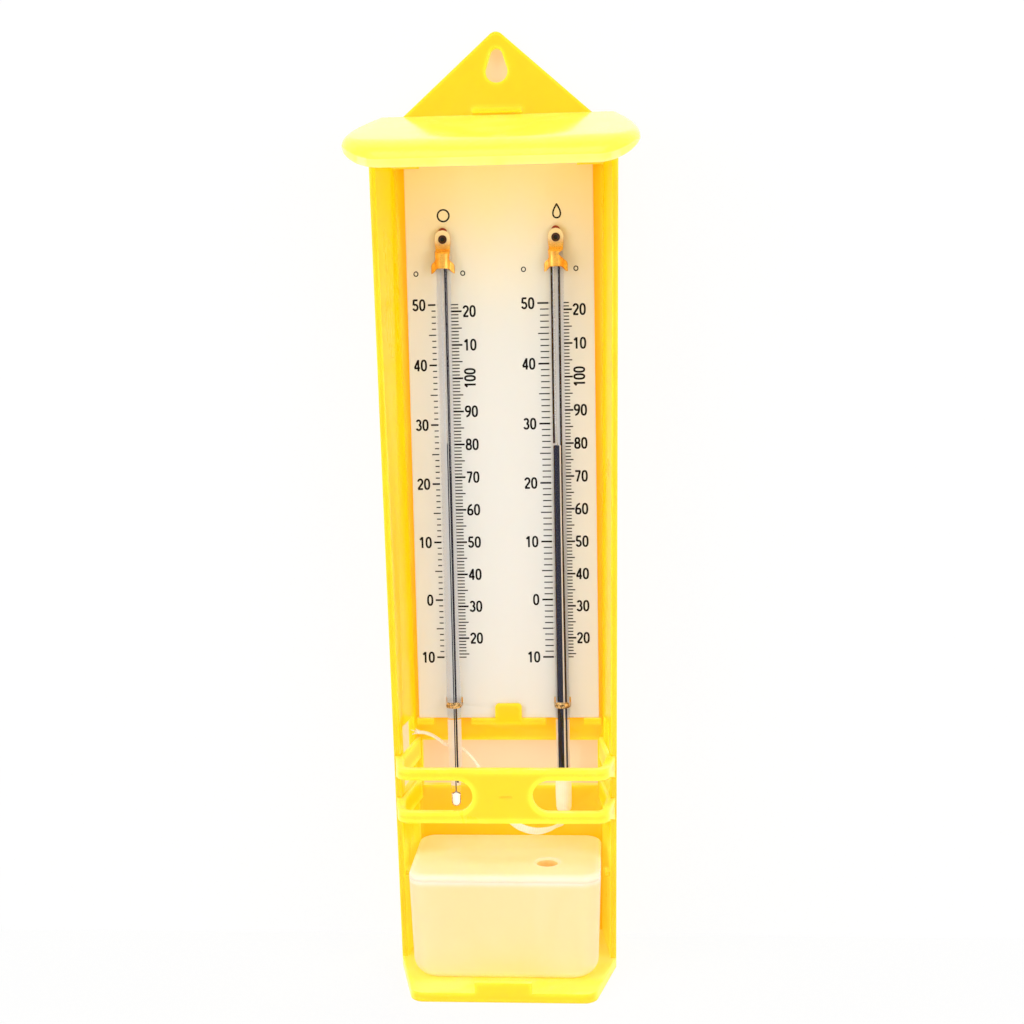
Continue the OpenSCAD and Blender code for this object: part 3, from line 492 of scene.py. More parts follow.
# The last colour is the painted warm shade behind the case's openings.
wall.data.materials.append(pale_finish("wall_paint", (0.97, 0.96, 0.93, 1), 0.92, True,
                                       (0.99, 0.76, 0.47, 1)))
floor = flat_sheet("floor", [(-ROOM_HALF, -ROOM_HALF, FLOOR_Z), (ROOM_HALF, -ROOM_HALF, FLOOR_Z),
                             (ROOM_HALF, ROOM_HALF, FLOOR_Z), (-ROOM_HALF, ROOM_HALF, FLOOR_Z)])
floor.data.materials.append(pale_finish("floor_paint", (0.93, 0.93, 0.92, 1), 0.9, False))

world = bpy.data.worlds.new("studio")
bpy.context.scene.world = world
world.use_nodes = True
rays = add(world.node_tree, "LightPath").outputs
seen = reckon(world.node_tree, "MAXIMUM", rays["Is Camera Ray"], rays["Is Transmission Ray"])
strength = spread(world.node_tree, seen, 0.0, 1.0, 0.53, 1.0)
world.node_tree.links.new(strength, world.node_tree.nodes["Background"].inputs["Strength"])
world.node_tree.nodes["Background"].inputs["Color"].default_value = (1, 1, 1, 1)


def soft_box(name, place, target, size, watts):
    """A square lamp at a place, facing a target. Its local -Z axis points along target - place."""
    lamp = bpy.data.lights.new(name, "AREA")
    lamp.shape = "RECTANGLE"
    lamp.size = size[0]
    lamp.size_y = size[1]
    lamp.energy = watts
    made = bpy.data.objects.new(name, lamp)
    back = np.asarray(place, float) - np.asarray(target, float)
    back /= np.linalg.norm(back)
    side = np.cross((0, 0, 1), back)
    side /= np.linalg.norm(side)
    turn = np.eye(4)
    turn[:3, :3] = np.stack([side, np.cross(back, side), back], axis=1)
    turn[:3, 3] = place
    made.matrix_world = Matrix(turn.tolist())
    bpy.context.scene.collection.objects.link(made)


soft_box("left_box", (-0.85, -0.60, 0.20), (0, 0, -0.16), (0.5, 0.9), 4.8)
soft_box("right_box", (0.85, -0.65, 0.15), (0, 0, -0.16), (0.5, 0.9), 4.2)
soft_box("top_box", (-0.1, -0.7, 1.0), (0, 0, -0.10), (0.9, 0.5), 2.2)
soft_box("rear_box", (0.4, 1.2, 0.6), (0, 0, -0.15), (0.9, 0.9), 6.0)


# The case is one moulding in glossy yellow styrene: back, gable, walls, shelf and the hooks that
# hold the other pieces. The guard in front of the bulbs is moulded with it, in the same colour.
# Their edges are drawn round. The lemon on their rims is a painted highlight, and their faint glow is
# painted light for the light thrown around inside the yellow case.
def soften(node, name, width, segments):
    """A copy of a CAD node for its looks. Loose triangles are merged and flat faces joined, and a
    Bevel rounds every edge sharper than 35 degrees."""
    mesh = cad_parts[node].data.copy()
    mesh.name = name
    work = bmesh.new()
    work.from_mesh(mesh)
    bmesh.ops.remove_doubles(work, verts=work.verts, dist=2e-6)
    bmesh.ops.dissolve_limit(work, angle_limit=np.radians(0.5), verts=work.verts, edges=work.edges)
    work.to_mesh(mesh)
    work.free()
    mesh.shade_smooth()
    mesh.set_sharp_from_angle(angle=np.radians(30))
    piece = bpy.data.objects.new(name, mesh)
    bpy.context.scene.collection.objects.link(piece)
    edge = piece.modifiers.new("round_edges", "BEVEL")
    edge.width = width
    edge.segments = segments
    edge.limit_method = "ANGLE"
    edge.angle_limit = np.radians(35)
    edge.use_clamp_overlap = True
    edge.miter_outer = "MITER_ARC"
    return piece


# Edge light: where a surface turns within a small radius. Mask = 1 - the flat normal dotted with the
# normal rounded over that radius, stretched to 0..1 and broken up by a noise.
edge_light, come, go = start_group(
    "edge_light", {"Place": ("Vector", None), "Radius": ("Float", 0.0008), "Breaks": ("Float", 400.0)},
    {"Mask": "Float"})
rounded = add(edge_light, "Bevel", {"Radius": come["Radius"]}, samples=6).outputs[0]
plain = add(edge_light, "NewGeometry").outputs["True Normal"]
turned = add(edge_light, "VectorMath", {0: rounded, 1: plain}, operation="DOT_PRODUCT").outputs["Value"]
mask = spread(edge_light, turned, 1.0, 0.9)
breaks = add(edge_light, "TexNoise", {"Vector": come["Place"], "Scale": come["Breaks"], "Detail": 2.0})
kept = spread(edge_light, breaks.outputs[0], 0.25, 0.6, 0.45, 1.0)
edge_light.links.new(times(edge_light, mask, kept), go["Mask"])


def stretched_noise(tree, place, stretch, size, detail=2.0, turn=(0, 0, 0), distortion=0.0):
    """A noise drawn out along the axes by turning and scaling the place."""
    moved = add(tree, "Mapping", {"Vector": place, "Rotation": turn, "Scale": stretch}).outputs[0]
    return add(tree, "TexNoise", {"Vector": moved, "Scale": size, "Detail": detail,
                                  "Distortion": distortion}).outputs[0]


# Moulded skin: the faint orange peel and flow of injection moulding, with dust on what faces up.
moulded, come, go = start_group(
    "moulded_skin", {"Place": ("Vector", None), "Peel": ("Float", 1400.0), "Flow": ("Float", 45.0),
                     "Gloss": ("Float", 0.3), "Dust": ("Float", 0.2)},
    {"Tone": "Float", "Roughness": "Float", "Dust": "Float", "Height": "Float"})
flow = stretched_noise(moulded, come["Place"], (1.0, 1.0, 0.6), come["Flow"], 4.0, distortion=0.8)
peel = add(moulded, "TexNoise", {"Vector": come["Place"], "Scale": come["Peel"], "Detail": 1.0}).outputs[0]
rubs = stretched_noise(moulded, come["Place"], (1.0, 6.0, 0.4), 500.0, turn=(0.3, 0.5, 0.2))
upward = axes(moulded, add(moulded, "NewGeometry").outputs["Normal"])[2]
dust = times(moulded, spread(moulded, upward, 0.6, 1.0),
             times(moulded, come["Dust"], spread(moulded, flow, 0.35, 0.7)))
moulded.links.new(flow, go["Tone"])
rough = reckon(moulded, "MULTIPLY_ADD", spread(moulded, rubs, 0.52, 0.72), 0.12,
               reckon(moulded, "MULTIPLY_ADD", flow, 0.1, come["Gloss"]))
moulded.links.new(reckon(moulded, "MULTIPLY_ADD", dust, 0.4, rough), go["Roughness"])
moulded.links.new(dust, go["Dust"])
moulded.links.new(peel, go["Height"])


# A faint glow in the yellow plastics' own colour: painted light that stands in for the light thrown around
# inside the case.
GLOW = 0.24
DUST_TONE = (0.9, 0.86, 0.6, 1)


def yellow_styrene(name, side_tones, front_light_tone, shade_tones_by_depth, rim, gloss, edge_round, dust=0.2):
    """Yellow plastic: two flow tones on what faces sideways; painted light, lighter in front and at the
    foot; painted shade on what faces the reader, deeper far back and another tone in front; a painted
    lemon highlight of its own width and share on edges; pale dust; and a faint painted glow for the
    light thrown around inside the case. The edges can be shaded round."""
    finish, tree, skin, place = start_finish(name, IOR=1.55, Coat_Weight=gloss[1], Coat_Roughness=0.12,
                                             Specular_IOR_Level=0.3, Subsurface_Weight=0.85,
                                             Subsurface_Scale=0.004, Subsurface_Radius=(1.0, 0.7, 0.1),
                                             Emission_Strength=GLOW)
    skin_marks = use_group(tree, moulded, Place=place, Gloss=gloss[0], Dust=dust)
    edges = use_group(tree, edge_light, Place=place, Radius=rim[4], Breaks=60.0)["Mask"]
    facing = axes(tree, add(tree, "NewGeometry").outputs["Normal"])[1]
    at = axes(tree, place)
    colour = between(tree, spread(tree, skin_marks["Tone"], 0.3, 0.7), *side_tones)
    # Painted light: lighter towards the front and at the foot.
    near = reckon(tree, "MAXIMUM", spread(tree, at[1], -0.028, -0.048),
                  times(tree, spread(tree, at[2], -0.262, -0.280), 0.9))
    colour = between(tree, near, colour, front_light_tone)
    # Painted shade on what faces the reader: a tone by depth, from the back to the front.
    depth_shade = between(tree, spread(tree, at[1], -0.012, -0.022), *shade_tones_by_depth[:2])
    depth_shade = between(tree, spread(tree, at[1], -0.032, -0.042), depth_shade, shade_tones_by_depth[2])
    colour = between(tree, spread(tree, facing, -0.3, -0.9), colour, depth_shade)
    # Painted highlight: lemon on the edges.
    colour = between(tree, times(tree, edges, rim[3]), colour, (*rim[:3], 1))
    colour = between(tree, skin_marks["Dust"], colour, DUST_TONE)
    paint(tree, skin, colour)
    join(tree, skin, Roughness=skin_marks["Roughness"])
    relief = bumped(tree, skin, skin_marks["Height"], 0.00002, 0.5)
    if edge_round:
        tree.links.new(add(tree, "Bevel", {"Radius": edge_round}, samples=6).outputs[0],
                       relief.inputs["Normal"])
    return finish


SIDE_TONES = ((1.0, 0.60, 0.0, 1), (1.0, 0.625, 0.002, 1))
DEPTH_SHADE_TONES = ((1.0, 0.57, 0.008, 1), (1.0, 0.50, 0.002, 1), (1.0, 0.62, 0.014, 1))
case_yellow = yellow_styrene("case_styrene", SIDE_TONES, (1.0, 0.80, 0.06, 1), DEPTH_SHADE_TONES,
                             (1.0, 0.86, 0.05, 0.36, 0.0028), (0.24, 0.15), 0.0011)
# The guard is the case's plastic; its copy is painted lighter in front and carries a wider, stronger
# painted highlight on its edges.
guard_yellow = yellow_styrene("guard_styrene", SIDE_TONES, (1.0, 0.86, 0.06, 1), DEPTH_SHADE_TONES,
                              (1.0, 0.95, 0.07, 0.95, 0.0042), (0.24, 0.15), 0.0015)
case = soften("case_body", "case_moulding", 0.35 * MM, 2)
dress(case, case_yellow, "case", "case_yellow", "case_body")
guard = soften("bulb_guard", "guard_moulding", 0.9 * MM, 4)
dress(guard, guard_yellow, "case", "case_yellow", "bulb_guard")

# The gate mark is a low oval dome in the middle of the guard's panel
GATE = (1.2, -41.95, 67.2)
GATE_HALF_WIDE = 2.6
GATE_HALF_HIGH = 0.35
GATE_RISE = 0.12
rise = 0.98 * quarter_steps(6)[:, None]
a = turn_steps(39)
gate_rings = points_at(GATE[0] + GATE_HALF_WIDE * np.cos(rise) * np.cos(a),
                       GATE[1] - GATE_RISE * np.sin(rise),
                       GATE[2] + GATE_HALF_HIGH * np.cos(rise) * np.sin(a))
gate_mark = make_piece("gate_mark", [turned_form(gate_rings)], sharp=80)
dress(gate_mark, case_yellow, "case", "case_yellow")


# The hood is a separate thin moulding in a glossier yellow, painted paler: painted light for the
# light it catches from above. It slides on over the walls from the front, and its back edge clicks
# under the catch on the gable.
SHOULDER = 297.5
HOOD_WALL = 2.0
HOOD_DEPTH = 52.0
BACK_FACE = 3.0
HOOD_HALF = 48.5
HOOD_HALF_BACK = 42.5
HOOD_SLOPE = 0.282
HOOD_LOW_FRONT = 278.0
HOOD_LOW_TIP = 284.5
HOOD_LOW_BACK = 287.5
CORNER_LONG = 18.0
CORNER_WIDE = 14.0
FRONT_BOW = 0.6
SIDE_R = 3.0
FRONT_R = 7.5
RIM_R = 0.9


def bezier(ends, u):
    """A cubic curve's points and outward directions: (1-u)3 a + 3(1-u)2 u b + 3(1-u)u2 c + u3 d, and
    its heading turned a quarter round."""
    a, b, c, d = np.asarray(ends, float)
    u = u[:, None]
    at = (1 - u) ** 3 * a + 3 * (1 - u) ** 2 * u * b + 3 * (1 - u) * u**2 * c + u**3 * d
    heading = (1 - u) ** 2 * (b - a) + 2 * (1 - u) * u * (c - b) + u**2 * (d - c)
    out = points_at(-heading[:, 1], heading[:, 0])
    return at, out / np.linalg.norm(out, axis=1, keepdims=True)


def ease(u):
    """A smooth step from 0 to 1: 3u2 - 2u3."""
    u = np.clip(u, 0, 1)
    return u * u * (3 - 2 * u)


side_long = HOOD_DEPTH - BACK_FACE - CORNER_LONG
swell = HOOD_HALF - HOOD_HALF_BACK
tip = np.array([HOOD_HALF, CORNER_LONG - HOOD_DEPTH])
turn_in = np.array([HOOD_HALF - CORNER_WIDE, FRONT_BOW - HOOD_DEPTH])
ease_in = np.array([0.65 * CORNER_WIDE, FRONT_BOW])
start = np.array([HOOD_HALF_BACK, -BACK_FACE])
# Half of the hood's plan in three legs: side, corner and front
leg_ends = [[start, start + [0.4 * swell, -0.25 * side_long], tip + [0, 0.4 * side_long], tip],
            [tip, tip - [0, 0.55 * CORNER_LONG], turn_in + ease_in, turn_in],
            [turn_in, turn_in - ease_in, [CORNER_WIDE, -HOOD_DEPTH], [0, -HOOD_DEPTH]]]
leg_steps = [np.linspace(0, 1, 25)[:-1], np.linspace(0, 1, 31)[:-1], np.linspace(0, 1, 21)]
legs = [bezier(ends, steps) for ends, steps in zip(leg_ends, leg_steps)]
plan = np.concatenate([leg[0] for leg in legs])
outs = np.concatenate([leg[1] for leg in legs])
outs[0] = (1, 0)
stage_s = np.concatenate([k + steps for k, steps in enumerate(leg_steps)])
plan = np.concatenate([plan, plan[-2::-1] * [-1, 1]])
outs = np.concatenate([outs, outs[-2::-1] * [-1, 1]])
stage_s = np.concatenate([stage_s, stage_s[-2::-1]])
top_round = SIDE_R + (FRONT_R - SIDE_R) * ease(stage_s - 1)
low_edge = np.where(stage_s < 1, HOOD_LOW_TIP + (HOOD_LOW_BACK - HOOD_LOW_TIP) * (1 - stage_s),
                    HOOD_LOW_FRONT + (HOOD_LOW_TIP - HOOD_LOW_FRONT) * ease(2 - stage_s))


def hood_skin(inset, rim_lift):
    """Columns of the hood's skin, set in by a wall's thickness: from the top of the back edge out
    over the sloping roof, a quarter round of the local radius, and down to the lower rim. Roof
    height = 297.5 - 0.282 (distance from the back - 3)."""
    r = (top_round - inset)[:, None]
    a = quarter_steps(10)[None, :]
    back_in = inset + r * (1 - np.sin(a))
    x = plan[:, :1] - back_in * outs[:, :1]
    y = plan[:, 1:] - back_in * outs[:, 1:]
    y = np.minimum(y, -BACK_FACE)
    z = SHOULDER - HOOD_SLOPE * (-y - BACK_FACE) - inset - r * (1 - np.cos(a))
    arc = points_at(x, y, z)
    w = np.linspace(0, 1, 9)[None, :-1, None]
    apex = np.array([0, -BACK_FACE, SHOULDER - inset])
    roof = apex + (arc[:, :1] - apex) * w
    foot = arc[:, -1:].copy()
    foot[:, 0, 2] = low_edge + rim_lift
    v = np.linspace(0, 1, 5)[None, 1:, None]
    drop = arc[:, -1:] + (foot - arc[:, -1:]) * v
    return np.concatenate([roof, arc, drop], axis=1)


hood_out = hood_skin(0.0, RIM_R)
hood_in = hood_skin(HOOD_WALL, RIM_R)
half_turn = np.linspace(0, np.pi, 9)[None, 1:-1, None]
rim_mid = (hood_out[:, -1:] + hood_in[:, -1:]) / 2
rim_arm = (hood_out[:, -1:] - hood_in[:, -1:]) / 2
rim_round = rim_mid + rim_arm * np.cos(half_turn) + np.array([0, 0, -RIM_R]) * np.sin(half_turn)
hood_grid = np.concatenate([hood_out, rim_round, hood_in[:, ::-1]], axis=1)
hood_grid = np.concatenate([(hood_grid[:1] + hood_grid[:1, ::-1]) / 2, hood_grid,
                            (hood_grid[-1:] + hood_grid[-1:, ::-1]) / 2])
hood = make_piece("hood_moulding", [grid_form(from_foot(hood_grid))], sharp=50)
hood_yellow = yellow_styrene("hood_styrene", ((1.0, 0.88, 0.10, 1), (1.0, 0.90, 0.125, 1)),
                             (1.0, 0.87, 0.09, 1), ((1.0, 0.82, 0.07, 1),) * 3,
                             (1.0, 0.95, 0.26, 0.6, 0.0014), (0.10, 0.4), 0.0, dust=0.07)
dress(hood, hood_yellow, "case", "hood_yellow", "roof_hood")


# The scale is a cream plate with fired-on black print: a Celsius and a Fahrenheit scale beside each
# thermometer. The plate stands on the ledges and is held by the snap tab and the corner keepers.
PLATE_FRONT = -4.5
INK_THICK = 0.03
INK_SUNK = 0.01
ZERO_Z = 127.9
DEGREE = 2.102
FIGURE_H = 4.0
FIGURE_WIDE = 0.52
FIGURE_PITCH = 0.60
STROKE = 0.68
SHORT_TICK, LONG_TICK, BOLD_TICK = 0.38, 0.40, 0.62
SIGN_STROKE = 0.55


def ink_stroke(path, width, ring=False):
    """A raised line of ink, a box section carried along a flat path of x and height: each point is
    stepped half the width to both sides of the heading, in front and behind."""
    path = np.asarray(path, float)
    heading = np.gradient(path, axis=0)
    if ring:
        heading = np.roll(path, -1, axis=0) - np.roll(path, 1, axis=0)
    heading /= np.linalg.norm(heading, axis=1, keepdims=True)
    side = points_at(-heading[:, 1], heading[:, 0]) * width / 2
    near, far = PLATE_FRONT - INK_THICK, PLATE_FRONT + INK_SUNK
    left, right = path + side, path - side
    corners = ((left, near), (right, near), (right, far), (left, far))
    rings = from_foot(np.stack([points_at(at[:, 0], depth, at[:, 1]) for at, depth in corners], axis=1))
    return grid_form(rings, ring=True) if ring else grid_form(pole_ends(rings))


def arc_path(x, z, rx, rz, from_deg, to_deg, count=22):
    """Part of an ellipse about x, z."""
    a = np.radians(np.linspace(from_deg, to_deg, count))
    return points_at(x + rx * np.cos(a), z + rz * np.sin(a))


def oval_path(x, z, rx, rz, count=36, power=0.8):
    """A closed rounded loop: an ellipse whose sine and cosine are taken to a power."""
    a = turn_steps(count)
    flat = lambda value: np.sign(value) * np.abs(value) ** power
    return points_at(x + rx * flat(np.cos(a)), z + rz * flat(np.sin(a)))


def figure_strokes(digit):
    """The strokes of one plain figure in a box 0.52 wide and 1 high, and whether each is a loop."""
    line = lambda *ends: (np.array(ends, float), False)
    arc = lambda *shape: (arc_path(*shape), False)
    oval = lambda *shape: (oval_path(*shape), True)
    shapes = {
        0: [oval(0.26, 0.5, 0.195, 0.435)],
        1: [line([0.09, 0.74], [0.29, 0.94]), line([0.30, 1.0], [0.30, 0.0])],
        2: [arc(0.26, 0.70, 0.19, 0.235, 172, -38), line([0.41, 0.56], [0.07, 0.08]),
            line([0.04, 0.065], [0.48, 0.065])],
        3: [arc(0.25, 0.725, 0.17, 0.21, 160, -85), arc(0.25, 0.29, 0.20, 0.225, 85, -160)],
        4: [line([0.37, 0.0], [0.37, 1.0]), line([0.37, 0.96], [0.05, 0.29]),
            line([0.02, 0.27], [0.51, 0.27])],
        5: [line([0.46, 0.935], [0.10, 0.935]), line([0.12, 0.96], [0.09, 0.5]),
            arc(0.25, 0.31, 0.20, 0.245, 130, -160)],
        6: [oval(0.26, 0.29, 0.195, 0.225), arc(0.40, 0.36, 0.335, 0.575, 186, 86)],
        7: [line([0.03, 0.935], [0.49, 0.935]), line([0.45, 0.93], [0.19, 0.0])],
        8: [oval(0.26, 0.735, 0.165, 0.205), oval(0.26, 0.28, 0.20, 0.22)],
        9: [oval(0.26, 0.71, 0.195, 0.225), arc(0.12, 0.64, 0.335, 0.575, 6, -94)],
    }
    return shapes[digit]


def number_forms(value, x, z, anchor, upright=True):
    """A number's strokes beside the height z. Figures stand 0.60 of their height apart. Anchor is 0
    for a number that starts at x, and 1 for one that ends there. A turned one reads upwards."""
    digits = [int(d) for d in str(value)]
    wide = (FIGURE_PITCH * (len(digits) - 1) + FIGURE_WIDE) * FIGURE_H
    forms = []
    for order, digit in enumerate(digits):
        for path, ring in figure_strokes(digit):
            local = path * FIGURE_H + [FIGURE_PITCH * FIGURE_H * order - anchor * wide, -FIGURE_H / 2]
            if not upright:
                local = points_at(FIGURE_H * (1 - path[:, 1]), local[:, 0] - wide / 2)
            forms.append(ink_stroke(local + [x, z], STROKE, ring))
    return forms


def tick_forms(x0, x1, heights, thick):
    """Short level lines from x0 to x1 at the given heights, as slabs of the given thickness."""
    return [ink_stroke([[x0, z], [x1, z]], thick) for z in heights]


celsius = np.arange(-10, 51)
celsius_z = ZERO_Z + DEGREE * celsius
fahrenheit = np.arange(14, 123)
fahrenheit_z = ZERO_Z + DEGREE * (fahrenheit - 32) / 1.8
# For each thermometer: where the short, long and bold Celsius marks start, where all of them end,
# the same for Fahrenheit, where the numbers stand, as distances from its axis, and the same for the
# two degree rings, with their height
LAYOUTS = ((-TUBE_X, (-4.7, -5.8, -5.9, -3.25), (4.75, 5.8, 5.9, 0.95), (-6.85, 6.3), (-9.8, 6.6, 243.8)),
           (TUBE_X, (-5.9, -6.7, -6.75, -2.9), (4.2, 5.1, 5.25, 1.8), (-7.9, 5.5), (-11.4, 6.8, 244.7)))
print_forms = []
for axis, celsius_ends, fahrenheit_ends, number_ends, signs in LAYOUTS:
    for degrees, heights, ends in ((celsius, celsius_z, celsius_ends),
                                   (fahrenheit, fahrenheit_z, fahrenheit_ends)):
        tens, fives = degrees % 10 == 0, degrees % 5 == 0
        for start_x, chosen, thick in ((ends[0], ~fives, SHORT_TICK), (ends[1], fives & ~tens, LONG_TICK),
                                       (ends[2], tens, BOLD_TICK)):
            print_forms += tick_forms(axis + start_x, axis + ends[3], heights[chosen], thick)
    for value in range(-10, 51, 10):
        print_forms += number_forms(abs(value), axis + number_ends[0], ZERO_Z + DEGREE * value, 1)
    for value in range(20, 121, 10):
        mark = ZERO_Z + DEGREE * (value - 32) / 1.8
        shown = value if value <= 100 else value - 100
        print_forms += number_forms(shown, axis + number_ends[1], mark, 0, upright=value != 100)
    for ring_x in signs[:2]:
        print_forms.append(ink_stroke(oval_path(axis + ring_x, signs[2], 0.70, 0.76, 28, 1.0), 0.36, True))

dry_ring = oval_path(-19.35, 263.6, 2.0, 2.0, 48, 1.0)
drop_a = turn_steps(48)
wet_drop = points_at(20.0 - 1.75 * np.sin(drop_a) * np.sin(drop_a / 2) ** 1.2,
                     264.4 + 2.35 * np.cos(drop_a))
print_forms += [ink_stroke(sign, SIGN_STROKE, True) for sign in (dry_ring, wet_drop)]
scale_print = make_piece("scale_print", print_forms, sharp=30)

ink, tree, skin, place = start_finish("scale_ink", Specular_IOR_Level=0.1)
blots = use_group(tree, mottle, Place=place, Broad=300.0, Fine=5000.0, Share=0.6)
colour = between(tree, spread(tree, blots["Tone"], 0.35, 0.75), (0.006, 0.005, 0.005, 1),
                 (0.03, 0.026, 0.024, 1))
join(tree, skin, Base_Color=colour, Roughness=spread(tree, blots["Speck"], 0.3, 0.7, 0.4, 0.6))
dress(scale_print, ink, "case", "scale_cream")

# Painted light: the plate's top is a warmer cream, for the yellow light that the hood throws on it.
CREAM_HOOD_BOUNCE = (1.0, 0.82, 0.46, 1)
CREAM_MIDDLE = (0.84, 0.84, 0.82, 1)
EDGE_SHADE_TONE = (0.75, 0.55, 0.30, 1)
plate = soften("scale_plate", "scale_enamel_plate", 0.15 * MM, 2)
cream, tree, skin, place = start_finish("scale_enamel", IOR=1.5, Coat_Weight=0.15, Coat_Roughness=0.2,
                                        Subsurface_Weight=0.05, Subsurface_Scale=0.001)
marks = use_group(tree, moulded, Place=place, Peel=2200.0, Flow=30.0, Gloss=0.32, Dust=0.3)
painted_edge = use_group(tree, edge_light, Place=place, Radius=0.0007, Breaks=350.0)["Mask"]
hood_bounce = times(tree, spread(tree, axes(tree, place)[2], -0.100, -0.030),
             spread(tree, marks["Tone"], 0.2, 0.8, 0.8, 1.0))
colour = between(tree, hood_bounce, CREAM_MIDDLE, CREAM_HOOD_BOUNCE)
# Painted shade: a darker brown along the plate's edges.
colour = between(tree, times(tree, painted_edge, 0.5), colour, EDGE_SHADE_TONE)
join(tree, skin, Base_Color=colour, Roughness=marks["Roughness"])
bumped(tree, skin, marks["Height"], 0.00001)
dress(plate, cream, "case", "scale_cream", "scale_plate")


# Each thermometer is drawn from lens-front tube with a flat back. Its bore is sealed at the top, and
# a neck and a thin bulb are fused on below. Mercury fills the bulb and a thread up to the reading.
STEM_R = 2.45
STEM_FLAT = 1.9
STEM_FOOT = 66.6
STEM_TOP = 251.0
NECK_R = 1.8
BULB_R = 1.65
BULB_TOP = 57.7
BULB_TIP = 51.9
BULB_WALL = 0.4
NECK_JOINT = 1.6
STEM_JOINT = 1.8
CROWN_R = 1.2
# The bore's half width and half depth, and how far it stands to the right of the axis at four
# heights. The dry tube is turned a little, so that its flat bore is seen nearly edge on.
LEVELS = (60.0, 95.0, 157.0, 250.0)
DRY_BORE = (0.11, 0.40)
DRY_SHIFT = (0.0, 0.0, -0.02, -0.02)
WET_BORE = (0.70, 0.42)
WET_SHIFT = (-0.42, -0.50, -0.60, -0.46)
EMPTY_BORE = 0.12
# The mercury reaches this far into the glass, so that no gap shows between them
WETTED = 0.02
MENISCUS = 0.4
DRY_READING = 27.0
WET_READING = 26.5
# Painted shade: thin dark strips in the glass stand in for the dark lines that the bore's walls show.
# Their places and half widths at the four heights, and the height where each line starts
DRY_LINES = (((0.47, 0.47, 0.54, 0.56), (0.22, 0.22, 0.28, 0.38), 60.7),)
WET_LINES = (((0.97, 0.87, 0.58, 0.66), (0.23, 0.23, 0.26, 0.28), 60.7),
             ((-1.12, -1.12, -1.12, -1.06), (0.28, 0.28, 0.28, 0.30), 184.2))
# Milk-white glass: its place right of the axis and behind it, its half width, and its top. It backs
# the neck of both tubes. A pale line of it beside the wet tube's thread, up to the mercury's level, is
# a painted highlight for the glint of the glass there. The milk glass glows faintly: painted light.
MILK_BACKING = (0.0, 1.15, 1.2, 84.2)
GLINT_LINE = (0.36, 0.1, 0.13, ZERO_Z + DEGREE * WET_READING)


def glass_rings(x):
    """The tube's outside from the bulb's tip up. The radius is joined from bulb, neck and stem by
    smooth steps, with domed ends. The back is pressed flat where the stem is:
    depth = min(r sin a, flat)."""
    domed = np.sin(quarter_steps(10))
    tip = BULB_TIP + BULB_R * (1 - np.cos(quarter_steps(10)))
    joint = np.linspace(-1, 1, 9)
    heights = np.concatenate([tip, np.linspace(BULB_TIP + BULB_R + 0.3, BULB_TOP - 1, 8),
                              BULB_TOP + 0.8 * joint, np.linspace(BULB_TOP + 1.2, STEM_FOOT - 1.1, 8),
                              STEM_FOOT + 0.9 * joint,
                              np.linspace(STEM_FOOT + 1.5, STEM_TOP - CROWN_R, 60)])
    to_neck = ease((heights - BULB_TOP) / NECK_JOINT + 0.5)
    to_stem = ease((heights - STEM_FOOT) / STEM_JOINT + 0.5)
    radii = BULB_R + (NECK_R - BULB_R) * to_neck + (STEM_R - NECK_R) * to_stem
    radii[:len(tip)] = BULB_R * domed
    radii[0] = 1e-5
    crown = quarter_steps(9)[1:]
    heights = np.concatenate([heights, STEM_TOP - CROWN_R + CROWN_R * np.sin(crown)])
    radii = np.concatenate([radii, STEM_R - CROWN_R + CROWN_R * np.cos(crown)])
    flat = NECK_R + (STEM_FLAT - NECK_R) * ease((heights - STEM_FOOT) / STEM_JOINT + 0.5)
    a = turn_steps(64)
    deep = np.minimum(radii[:, None] * np.sin(a), flat[:, None])
    return points_at(x + radii[:, None] * np.cos(a), TUBE_Y + deep, heights[:, None])


def hollow_rings(x, bore, shift, bulb, level_z, top, cap):
    """The hollow's or the mercury's outside: a round-ended bulb that narrows to the flat bore, which
    stands off the axis by a shift, is slim above the mercury's level, and has a cap of the given
    height at the top. A ring's point is (x + shift + rx cos a, y + ry sin a)."""
    tip = BULB_TIP + BULB_R - bulb * np.cos(quarter_steps(12))
    narrow = np.linspace(0, 1, 12)
    heights = np.concatenate([tip, np.linspace(BULB_TIP + BULB_R + 0.3, BULB_TOP - 1.6, 6),
                              BULB_TOP - 1.4 + 1.6 * narrow, np.linspace(BULB_TOP + 0.6, top - cap, 40)])
    over = quarter_steps(8)[1:]
    heights = np.concatenate([heights, top - cap + cap * np.sin(over)])
    shrink = np.concatenate([np.ones(len(heights) - len(over)), np.cos(over)])
    slim = ease((heights - BULB_TOP + 1.4) / 1.6)
    bulb_r = np.where(heights < BULB_TIP + BULB_R, np.sqrt(np.maximum(
        bulb**2 - (heights - BULB_TIP - BULB_R) ** 2, 1e-8)), bulb)
    empty = ease((heights - level_z) / 1.2)
    bore_wide, bore_deep = (part + (EMPTY_BORE - part) * empty for part in bore)
    wide = ((bulb_r + (bore_wide - bulb_r) * slim) * shrink)[:, None]
    deep = ((bulb_r + (bore_deep - bulb_r) * slim) * shrink)[:, None]
    shift = np.interp(heights, LEVELS, shift)[:, None]
    a = turn_steps(32)
    return points_at(x + shift * slim[:, None] + wide * np.cos(a), TUBE_Y + deep * np.sin(a),
                     heights[:, None])


